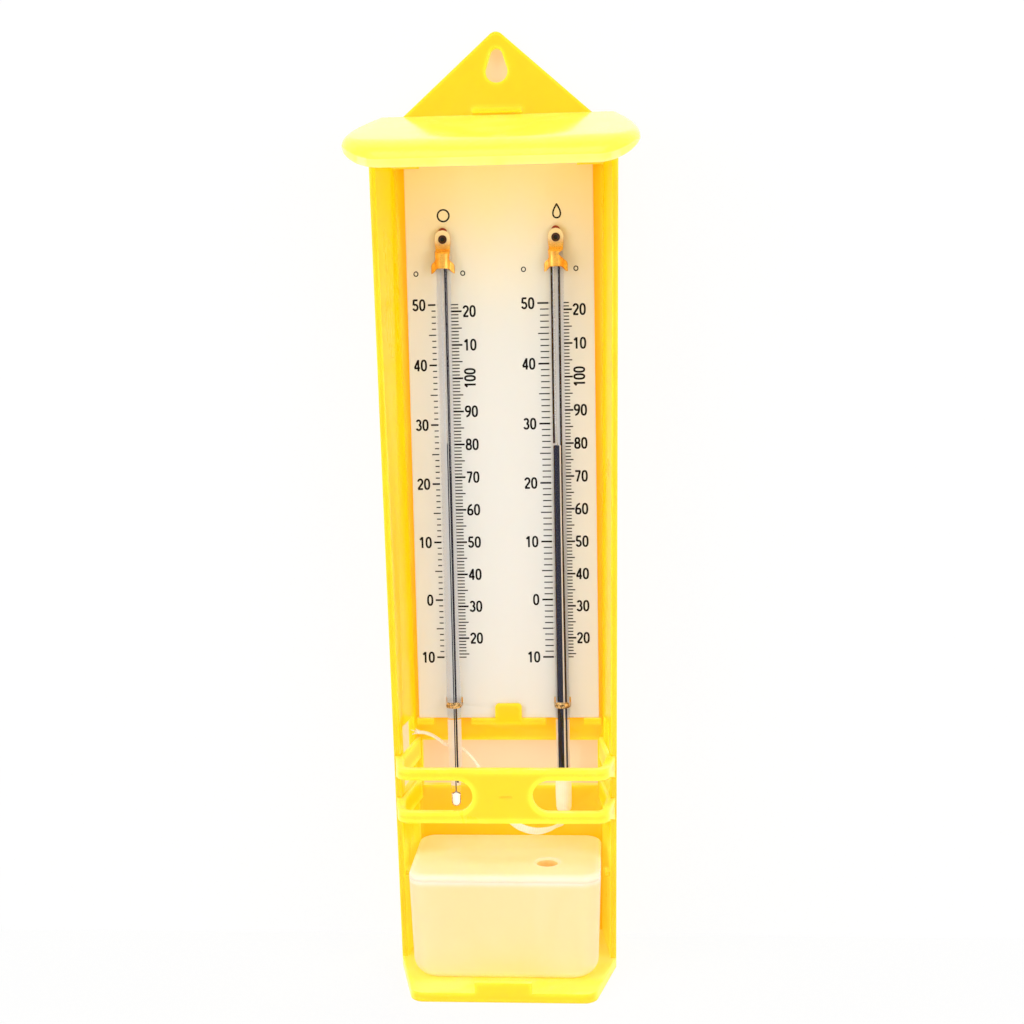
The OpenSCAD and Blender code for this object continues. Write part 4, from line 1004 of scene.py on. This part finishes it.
glass, tree, skin, place = start_finish("stem_glass", Transmission_Weight=1.0, IOR=1.47, Metallic=0.0,
                                        Roughness=0.0, Specular_IOR_Level=0.25)
drawn = stretched_noise(tree, place, (1.0, 1.0, 0.03), 900.0)
smears = use_group(tree, mottle, Place=place, Broad=180.0, Fine=2600.0, Share=0.5)
colour = between(tree, drawn, (0.965, 0.955, 0.965, 1), (1.0, 0.995, 1.0, 1))
join(tree, skin, Base_Color=colour, Roughness=spread(tree, smears["Tone"], 0.6, 0.9, 0.0, 0.015))
through = times(tree, add(tree, "LightPath").outputs["Is Shadow Ray"], 0.92)
clear = add(tree, "MixShader", {0: through, 1: tree.nodes["Principled BSDF"].outputs[0],
                                2: add(tree, "BsdfTransparent").outputs[0]}).outputs[0]
tree.links.new(clear, tree.nodes["Material Output"].inputs[0])

# Painted reflection: the thread is painted dark navy without metal, for the dark room it mirrors; the bulb
# is painted silver with a glow, for the bright room it mirrors, and dark round its outline.
quicksilver, tree, skin, place = start_finish("quicksilver")
in_bulb = spread(tree, axes(tree, place)[2], -0.2590, -0.2610)
streak = use_group(tree, mottle, Place=place, Broad=400.0, Fine=3000.0, Share=0.3)
thread = between(tree, streak["Tone"], (0.002, 0.001, 0.016, 1), (0.005, 0.004, 0.034, 1))
silver = between(tree, streak["Tone"], (0.92, 0.91, 0.90, 1), (1.0, 1.0, 0.98, 1))
edge_reflection = spread(tree, add(tree, "LayerWeight", {0: 0.5}).outputs["Facing"], 0.24, 0.34)
edge_reflection = times(tree, edge_reflection, spread(tree, streak["Speck"], 0.35, 0.5))
silver = between(tree, edge_reflection, silver, (0.01, 0.006, 0.006, 1))
colour = between(tree, in_bulb, thread, silver)
paint(tree, skin, colour)
join(tree, skin, Emission_Strength=times(tree, in_bulb, 0.45), Metallic=times(tree, in_bulb, 0.2),
     Specular_IOR_Level=spread(tree, in_bulb, 0.0, 1.0, 0.02, 0.4),
     Roughness=spread(tree, streak["Speck"], 0.2, 0.8, 0.12, 0.24))

# The dark strips' finish: painted shade.
bore_dark, tree, skin, place = start_finish("bore_wall_line", Specular_IOR_Level=0.0, Roughness=0.8)
streak = use_group(tree, mottle, Place=place, Broad=500.0, Fine=3000.0, Share=0.3)
join(tree, skin, Base_Color=between(tree, streak["Tone"], (0.006, 0.002, 0.008, 1),
                                    (0.018, 0.008, 0.022, 1)))

milk_glass, tree, skin, place = start_finish("milk_glass", Specular_IOR_Level=0.2, Roughness=0.4,
                                             Emission_Strength=0.25)
cloud = use_group(tree, mottle, Place=place, Broad=300.0, Fine=2500.0, Share=0.4)
colour = between(tree, cloud["Tone"], (0.95, 0.72, 0.50, 1), (1.0, 0.86, 0.70, 1))
paint(tree, skin, colour)

for side, axis, reading, bore, shift, lines, milk in (
        ("dry", -TUBE_X, DRY_READING, DRY_BORE, DRY_SHIFT, DRY_LINES, (MILK_BACKING,)),
        ("wet", TUBE_X, WET_READING, WET_BORE, WET_SHIFT, WET_LINES, (MILK_BACKING, GLINT_LINE))):
    inside = BULB_R - BULB_WALL
    outside = turned_form(glass_rings(axis))
    level_z = ZERO_Z + DEGREE * reading
    hollow = turned_form(hollow_rings(axis, bore, shift, inside, level_z, STEM_TOP - STEM_R, 1.0),
                         inward=True)
    stem = make_piece(side + "_glass", [outside, hollow], sharp=60)
    dress(stem, glass, "case", "stem_glass", side + "_stem")
    wetted = (bore[0] + WETTED, bore[1] + WETTED)
    filling = turned_form(hollow_rings(axis, wetted, shift, inside + WETTED, level_z, level_z, MENISCUS))
    mercury = make_piece(side + "_quicksilver", [filling], sharp=60)
    dress(mercury, quicksilver, "case", "mercury", side + "_mercury")
    line_forms = []
    for offsets, halves, start_z in lines:
        heights = np.linspace(start_z, STEM_TOP - 2, 60)
        line = points_at(axis + np.interp(heights, LEVELS, offsets), TUBE_Y + 0.1, heights)
        half = np.interp(heights, LEVELS, halves) * MM
        line_forms.append(swept(from_foot(line), half, 0.03 * MM, sides=8, hint=(0.0, 1.0, 0.0)))
    bore_lines = make_piece(side + "_bore_lines", line_forms, sharp=60)
    dress(bore_lines, bore_dark, "case", "stem_glass")
    milk_forms = []
    for offset, back, half, top in milk:
        band = points_at(axis + offset, TUBE_Y + back, np.linspace(BULB_TOP + 1.8, top, 30))
        milk_forms.append(swept(from_foot(band), half * MM, 0.06 * MM, sides=12, hint=(0.0, 1.0, 0.0)))
    backing = make_piece(side + "_milk_glass", milk_forms, sharp=60)
    dress(backing, milk_glass, "case", "stem_glass")


# Each thermometer hangs from a clip of thin sheet brass, bent out over the top of the glass and cut
# to two ears. A hollow eyelet rivets it through a red-brown fibre pad to the plate, and a brass
# strap holds the stem near the plate's foot.
CLIP_LOW = 243.7
CLIP_TOP = 258.6
TAB_Y = -6.2
SHEET = 0.4
EYELET_Z = 255.4
EYELET_PROUD = -6.56
EYELET_BEHIND = -3.16
EYELET_ROLL_R = 1.24
PAD_LOW = 251.5
PAD_H = 7.9
PAD_HALF = 1.5
PAD_MIDDLE = -5.25
PAD_THICK = 1.46
CLAMP_LOW = 89.0
STRAP_BACK = -3.4
LEG_H = 0.8
STRAP_WIDENS = 1.4
# Heights between which the clip's tarnished brass turns into the painted highlight on its tab: pale
# cream and less metallic
TAB_HIGHLIGHT_FADE = (-0.0650, -0.0615)


def clip_sheet(x, bent):
    """The clip's middle surface, across by height: flat on the pad above, a quick step forward at
    the fold, and below it a round about the stem whose edges flare out into the ears. Depth =
    the round's own -sqrt(r2 - x2), held level past the stem's sides. A bent clip's right edge is
    drawn in above its ear."""
    v = np.concatenate([np.linspace(0, 0.46, 24), np.linspace(0.48, 0.58, 10), np.linspace(0.6, 1, 30)])
    v = v[:, None]
    u = np.linspace(-1, 1, 41)
    z = CLIP_LOW + (CLIP_TOP - CLIP_LOW) * v
    flare = 2.3 + 1.8 * ease((0.33 - v) / 0.16)
    shoulder = 2.62 - 0.32 * ease((0.5 - v) / 0.14)
    top_half = 2.75
    cap = (z - (CLIP_TOP - top_half)) / top_half
    rounded = top_half * np.sqrt(np.clip(1 - np.clip(cap, 0, 0.9999) ** 2, 0.0004, 1))
    rounded = rounded - 0.22 * ease((0.72 - v) / 0.16)
    half = np.where(v < 0.34, flare, np.where(v < 0.5, shoulder, rounded))
    wide = half * u * (1 - bent * np.exp(-((v - 0.40) / 0.065) ** 2) * (u > 0) * np.clip(3 * u, 0, 1))
    wrap_r = 2.75
    wrapped = TUBE_Y - np.sqrt(np.maximum(wrap_r**2 - wide**2, 0.16))
    flared = TUBE_Y - 1.3 + 0.9 * ease((np.abs(wide) - 2.3) / 1.6)
    apron = np.where(np.abs(wide) < 2.35, np.minimum(wrapped, TUBE_Y - 1.3), flared)
    fold = ease((v - 0.46) / 0.10)
    y = apron * (1 - fold) + TAB_Y * fold
    arch = 1.7 * ease(1 - (np.abs(wide) - 1.6) / 2.4) * (1 - ease(v / 0.3))
    return points_at(x + wide, y, z + arch)


def pole_ends_flat(rings):
    """Rings of two facing rows, shut at both ends by folding the two rows together."""
    fold = lambda ring: (ring + ring[::-1]) / 2
    return np.concatenate([fold(rings[0])[None], rings, fold(rings[-1])[None]])


def thicken(surface, thick):
    """A closed slab from an open grid: every point is stepped half the thickness both ways along its
    normal, the cross product of the grid's two directions, and the two skins are joined round."""
    down, side = np.gradient(surface, axis=0), np.gradient(surface, axis=1)
    normal = np.cross(down, side)
    normal /= np.maximum(np.linalg.norm(normal, axis=-1, keepdims=True), 1e-9)
    front, back = surface + normal * thick / 2, surface - normal * thick / 2
    rings = np.concatenate([front, back[:, ::-1]], axis=1)
    return grid_form(from_foot(pole_ends_flat(rings)))


def pad_sheet(x):
    """The pad's middle surface: a strip 3 wide with a half-round top."""
    v = np.linspace(0, 1, 30)[:, None]
    u = np.linspace(-1, 1, 15)
    z = PAD_LOW + PAD_H * (1 - (1 - v) ** 1.6)
    up_round = np.clip((z - PAD_LOW - PAD_H + PAD_HALF) / PAD_HALF, 0, 0.999)
    half = PAD_HALF * np.sqrt(np.clip(1 - up_round**2, 0.002, 1))
    return points_at(x + half * u, PAD_MIDDLE, z)


def eyelet_rings(x):
    """The eyelet as rings about a level axis: the rim rolled over behind the plate, the barrel, the
    rolled front flange, and a shallow hole shut by a floor that its finish paints dark, as painted
    shade for the hole's depth. Each pair is a radius and a depth."""
    roll = np.radians(np.linspace(-90, 150, 11))
    front = points_at(EYELET_ROLL_R + 0.26 * np.cos(roll), EYELET_PROUD - 0.19 * np.sin(roll))
    back_roll = np.radians(np.linspace(150, -90, 9))
    back = points_at(EYELET_ROLL_R + 0.25 * np.cos(back_roll), EYELET_BEHIND + 0.14 * np.sin(back_roll))
    profile = np.concatenate([[[0.70, -3.14]], back[:-1], [[1.05, -3.3], [1.05, -6.38]], front[1:],
                              [[0.80, -6.6], [0.76, -6.5], [0.70, -6.42]]])
    a = turn_steps(40)
    r, y = profile[:, :1], profile[:, 1:]
    return points_at(x + r * np.cos(a), y, EYELET_Z + r * np.sin(a))


def strap_rings(x):
    """The clamp: a crowned strip carried from the plate out over the front of the stem and back.
    The path is two straight legs joined by a half round, where the strip widens from 0.8 to 2.2."""
    a = np.linspace(np.pi, 2 * np.pi, 30)
    r = STEM_R + 0.25
    bend = points_at(r * np.cos(a), TUBE_Y + r * np.sin(a))
    leg = np.linspace(STRAP_BACK, TUBE_Y, 8)[:-1]
    path = np.concatenate([points_at(-r, leg), bend, points_at(r, leg[::-1])])
    out = np.gradient(path, axis=0)
    out = points_at(out[:, 1], -out[:, 0])
    out /= np.linalg.norm(out, axis=1, keepdims=True)
    b = turn_steps(20)[None, :, None]
    lean = 0.16 * np.sin(b)
    crown = np.sign(np.cos(b)) * np.abs(np.cos(b)) ** 0.35
    flat = path[:, None] - out[:, None] * lean
    low_front = ease((TUBE_Y - 0.6 - path[:, 1]) / 1.4)[:, None, None]
    band_h = LEG_H + STRAP_WIDENS * low_front
    high = CLAMP_LOW + 0.05 + band_h / 2 * (1 + crown)
    rings = np.concatenate([flat, high], axis=-1)
    return rings + [x, 0, 0]


brass, tree, skin, place = start_finish("sheet_brass")
tarnish = use_group(tree, mottle, Place=place, Broad=420.0, Fine=5200.0, Share=0.35)
edge_tint = use_group(tree, edge_light, Place=place, Radius=0.0003, Breaks=900.0)["Mask"]
rolled = stretched_noise(tree, place, (12.0, 1.0, 0.6), 700.0)
colour = between(tree, spread(tree, tarnish["Tone"], 0.40, 0.66), (1.0, 0.56, 0.09, 1),
                 (0.85, 0.36, 0.05, 1))
high = axes(tree, place)[2]
# Painted highlight: the tab is pale cream above the fade.
colour = between(tree, spread(tree, high, *TAB_HIGHLIGHT_FADE), colour, (1.0, 0.80, 0.46, 1))
colour = between(tree, times(tree, edge_tint, 0.7), colour, (0.55, 0.16, 0.03, 1))
join(tree, skin, Base_Color=colour, Metallic=spread(tree, high, *TAB_HIGHLIGHT_FADE, 0.4, 0.05),
     Roughness=spread(tree, tarnish["Speck"], 0.3, 0.7, 0.22, 0.42))
bumped(tree, skin, rolled, 0.00001)


def apart(tree, a, b):
    """A distance from its two parts: sqrt(a2 + b2)."""
    return reckon(tree, "SQRT", reckon(tree, "ADD", times(tree, a, a), times(tree, b, b)))


def dulled_brass(name, dark, pale, glint, low, high, metal, hole=False):
    """Old brass: brown spots on a duller ground, with a painted glint on its edges. An eyelet's hole is
    painted dark, as painted shade, within 0.8 mm of its axis: sqrt((|x| - 19.6)2 + (z - 255.4)2). A
    strap's legs, within 7 mm of the back, are painted pale: a painted highlight."""
    finish, tree, skin, place = start_finish(name, Metallic=metal, Specular_IOR_Level=0.3)
    tarnish = use_group(tree, mottle, Place=place, Broad=900.0, Fine=3600.0, Share=0.5)
    edge_tint = use_group(tree, edge_light, Place=place, Radius=0.00025, Breaks=1500.0)["Mask"]
    colour = between(tree, spread(tree, tarnish["Tone"], low, high), dark, pale)
    # Painted highlight: a glint on the edges.
    colour = between(tree, times(tree, edge_tint, 0.7), colour, glint)
    at = axes(tree, place)
    # Painted shade: the eyelet's hole is painted near black.
    if hole:
        off = reckon(tree, "SUBTRACT", reckon(tree, "ABSOLUTE", at[0]), TUBE_X * MM)
        up = reckon(tree, "SUBTRACT", at[2], (EYELET_Z - FOOT_BELOW_SCREW) * MM)
        away = apart(tree, off, up)
        colour = between(tree, spread(tree, away, 0.0007, 0.0009), (0.004, 0.002, 0.002, 1), colour)
    else:
        # Painted highlight: the strap's legs are painted pale.
        colour = between(tree, spread(tree, at[1], -0.0070, -0.0062), colour, (0.86, 0.78, 0.64, 1))
    join(tree, skin, Base_Color=colour, Roughness=spread(tree, tarnish["Speck"], 0.3, 0.7, 0.25, 0.5))
    return finish


eyelet_brass = dulled_brass("eyelet_brass", (0.016, 0.004, 0.003, 1), (0.08, 0.022, 0.010, 1),
                            (0.20, 0.08, 0.04, 1), 0.35, 0.65, 0.0, hole=True)
strap_brass = dulled_brass("strap_brass", (0.06, 0.028, 0.010, 1), (0.92, 0.62, 0.28, 1),
                           (1.0, 0.82, 0.50, 1), 0.44, 0.56, 0.6)

fibre, tree, skin, place = start_finish("red_fibre", Specular_IOR_Level=0.3)
weft = stretched_noise(tree, place, (1.0, 6.0, 1.0), 1500.0, 3.0)
join(tree, skin, Base_Color=between(tree, weft, (0.16, 0.010, 0.006, 1), (0.42, 0.05, 0.02, 1)),
     Roughness=spread(tree, weft, 0.2, 0.8, 0.6, 0.9))
bumped(tree, skin, weft, 0.00005)

for side, axis, bent in (("dry", -TUBE_X, 0.0), ("wet", TUBE_X, 0.6)):
    clip = make_piece(side + "_brass_clip", [thicken(clip_sheet(axis, bent), SHEET)], sharp=50)
    dress(clip, brass, "case", "clip_brass", side + "_top_clip")
    rivet = make_piece(side + "_rivet", [turned_form(eyelet_rings(axis))], sharp=60)
    dress(rivet, eyelet_brass, "case", "clip_brass", side + "_eyelet")
    strap = make_piece(side + "_strap", [turned_form(strap_rings(axis))], sharp=60)
    dress(strap, strap_brass, "case", "clip_brass", side + "_clamp")
    pad = make_piece(side + "_fibre_pad", [thicken(pad_sheet(axis), PAD_THICK)], sharp=50)
    dress(pad, fibre, "case", "pad_fibre", side + "_pad")


# The reservoir is a blown box of milky polythene with drafted sides and round corners. Its lid has a
# rim that fits inside the box and a dished hole for the wick. It stands on the shelf behind the stop.
TANK_TOP_HALF = 33.0
TANK_FOOT_HALF = 32.0
TANK_BACK = -4.0
TANK_FRONT = -45.0
TANK_FOOT = 3.3
TANK_TOP = 38.1
TANK_R = 6.0
TANK_WALL = 1.2
FOOT_R = 2.4
LID_TOP = 40.3
LID_EDGE = 1.4
LID_RIM_H = 3.0
HOLE = (14.4, -31.5)
HOLE_R = 3.15
MOUTH_R = 4.3
MOUTH_H = 1.5


def rounded_ring(half, front, back, r, height, count=160):
    """A level ring with straight sides and round corners. Going round by the angle a, the corner
    centres are stepped to by the signs of cos a and sin a, and the corner's arc is added; the
    straight sides fall between the corners' last and next points."""
    per = count // 4
    a = quarter_steps(per - 8)
    side = np.linspace(0, 1, 10)[1:-1]
    centres = [(half - r, back - r), (r - half, back - r), (r - half, front + r), (half - r, front + r)]
    ring = []
    for k, (cx, cy) in enumerate(centres):
        turn = a + k * np.pi / 2
        arc = points_at(cx + r * np.cos(turn), cy + r * np.sin(turn))
        after = centres[(k + 1) % 4]
        first = (k + 1) * np.pi / 2
        start_next = points_at(after[0] + r * np.cos(first), after[1] + r * np.sin(first))
        run = arc[-1] + (start_next - arc[-1]) * side[:, None]
        ring += [arc, run]
    ring = np.concatenate(ring)
    return points_at(ring[:, 0], ring[:, 1], height)


def tank_rings(inset, top):
    """The box's outer or inner skin from the middle of its floor up: a floor ring, the round foot
    edge, then drafted sides. The foot is rounder at the sides than in front: at a height h above
    the floor, each is set in by r - sqrt(r2 - (r - h)2). Half width grows from 32 at the foot to
    33 at the rim."""
    r = TANK_R - inset
    front_r = FOOT_R - inset / 2
    middle = (TANK_BACK + TANK_FRONT) / 2
    reach = (TANK_BACK - TANK_FRONT) / 2 - TANK_R
    rings = []
    for share in (0.02, 0.35, 0.7):
        rings.append(rounded_ring((TANK_FOOT_HALF - TANK_R) * share + 0.3, middle - reach * share - 0.3,
                                  middle + reach * share + 0.3, 0.3, TANK_FOOT + inset))
    for turn in quarter_steps(15):
        rise = r * (1 - np.cos(turn))
        side_in = inset + r * (1 - np.sin(turn))
        front_in = inset + front_r - np.sqrt(front_r**2 - max(front_r - rise, 0) ** 2)
        rings.append(rounded_ring(TANK_FOOT_HALF - side_in, TANK_FRONT + front_in, TANK_BACK - front_in,
                                  r - 0.7 * (front_in - inset), TANK_FOOT + inset + rise))
    for share in np.linspace(0.1, 1, 14):
        height = TANK_FOOT + TANK_R + (top - TANK_FOOT - TANK_R) * share
        half = TANK_FOOT_HALF + (TANK_TOP_HALF - TANK_FOOT_HALF) * share - inset
        rings.append(rounded_ring(half, TANK_FRONT + inset, TANK_BACK - inset, r, height))
    return np.stack(rings)


RIM_CROWN = 0.08
box_out = tank_rings(0.0, TANK_TOP - RIM_CROWN)
box_in = tank_rings(TANK_WALL, TANK_TOP - RIM_CROWN)
rim_top = (box_out[-1] + box_in[-1]) / 2 + [0, 0, RIM_CROWN]
box_rings = np.concatenate([box_out, rim_top[None], box_in[::-1]])
tank = make_piece("water_box", [turned_form(box_rings)], sharp=60)


def hole_ring(r, height, count=160):
    """A ring round the wick hole, started at the same corner as the box's rings."""
    a = turn_steps(count)
    return points_at(HOLE[0] + r * np.cos(a), HOLE[1] + r * np.sin(a), height)


lid_plan = lambda out, height: rounded_ring(TANK_TOP_HALF + out, TANK_FRONT - out, TANK_BACK + out,
                                            TANK_R + out, height)
count = len(lid_plan(0, 0))
# Rings from the hole's foot up its wall, over the dish and the top to the outer edge, under it and
# round the inner rim, then along the underside to the hole's collar
dish = np.linspace(0, 1, 7)
over = quarter_steps(7)
rim_foot = TANK_TOP - LID_RIM_H
lid_rings = [hole_ring(HOLE_R, rim_foot, count), hole_ring(HOLE_R, LID_TOP - MOUTH_H, count)]
lid_rings += [hole_ring(HOLE_R + (MOUTH_R - HOLE_R) * np.sin(u * np.pi / 2) ** 1.3,
                        LID_TOP - MOUTH_H * (1 - u) ** 1.6, count) for u in dish[1:]]
mouth, top_edge = hole_ring(MOUTH_R + 0.4, LID_TOP, count), lid_plan(-LID_EDGE, LID_TOP)
lid_rings += [mouth + (top_edge - mouth) * u for u in (0, 0.25, 0.5, 0.75)]
lid_rings += [lid_plan(LID_EDGE * (np.sin(u) - 1), LID_TOP - LID_EDGE * (1 - np.cos(u))) for u in over]
lid_rings += [lid_plan(out, height) for out, height in (
    (0, TANK_TOP + 0.15), (-0.1, TANK_TOP + 0.02), (-1.5, TANK_TOP + 0.02), (-1.5, rim_foot + 0.3),
    (-1.8, rim_foot), (-2.4, rim_foot), (-2.7, rim_foot + 0.3), (-2.7, TANK_TOP))]
under_edge, collar_top = lid_rings[-1], hole_ring(HOLE_R + TANK_WALL, TANK_TOP, count)
lid_rings += [under_edge + (collar_top - under_edge) * u for u in (0.4, 0.8, 1.0)]
lid_rings += [hole_ring(HOLE_R + TANK_WALL, rim_foot + 0.2, count),
              hole_ring(HOLE_R + TANK_WALL - 0.3, rim_foot, count)]
lid = make_piece("water_box_lid", [grid_form(from_foot(np.stack(lid_rings)), ring=True)], sharp=50)


def milky_polythene(name, low, high, hole_depth):
    """Soft clouded plastic that light goes into, with a pale painted highlight on its edges and a faint
    painted glow for the light that comes through from behind. It is painted deeper, as painted shade,
    in and under the wick's hole: within a radius sqrt((x - hole x)2 + (y - hole y)2) of the hole's
    axis, below a height."""
    finish, tree, skin, place = start_finish(name, IOR=1.5, Subsurface_Weight=0.6, Subsurface_Scale=0.006,
                                             Subsurface_Radius=(1.0, 0.8, 0.5), Coat_Weight=0.1,
                                             Coat_Roughness=0.3, Emission_Strength=0.12)
    marks = use_group(tree, moulded, Place=place, Peel=900.0, Flow=35.0, Gloss=0.38, Dust=0.15)
    painted_edge = use_group(tree, edge_light, Place=place, Radius=0.0032, Breaks=60.0)["Mask"]
    colour = between(tree, spread(tree, marks["Tone"], 0.25, 0.75), low, high)
    colour = between(tree, times(tree, painted_edge, 0.85), colour, (1.0, 0.98, 0.82, 1))
    at = axes(tree, place)
    away = apart(tree, reckon(tree, "SUBTRACT", at[0], HOLE[0] * MM),
                 reckon(tree, "SUBTRACT", at[1], HOLE[1] * MM))
    shade_z = (LID_TOP - FOOT_BELOW_SCREW) * MM - hole_depth
    low_down = spread(tree, at[2], shade_z, shade_z - 0.0003)
    shaded = times(tree, low_down, spread(tree, away, 0.0085, (HOLE_R + 0.3) * MM))
    colour = between(tree, shaded, colour, (0.93, 0.60, 0.20, 1))
    paint(tree, skin, colour)
    join(tree, skin, Roughness=marks["Roughness"])
    bumped(tree, skin, marks["Height"], 0.00003, 0.6)
    return finish


# The lid's tones are paler than the box's, though both are the same polythene: painted light on the lid,
# which lies in the guard's shade.
tank_plastic = milky_polythene("tank_polythene", (1.0, 0.72, 0.35, 1), (1.0, 0.76, 0.41, 1), 0.0035)
lid_plastic = milky_polythene("lid_polythene", (1.0, 0.83, 0.47, 1), (1.0, 0.87, 0.54, 1), 0.0006)
dress(tank, tank_plastic, "reservoir", "reservoir_polythene", "reservoir_box")
dress(lid, lid_plastic, "lid", "reservoir_polythene", "reservoir_lid")
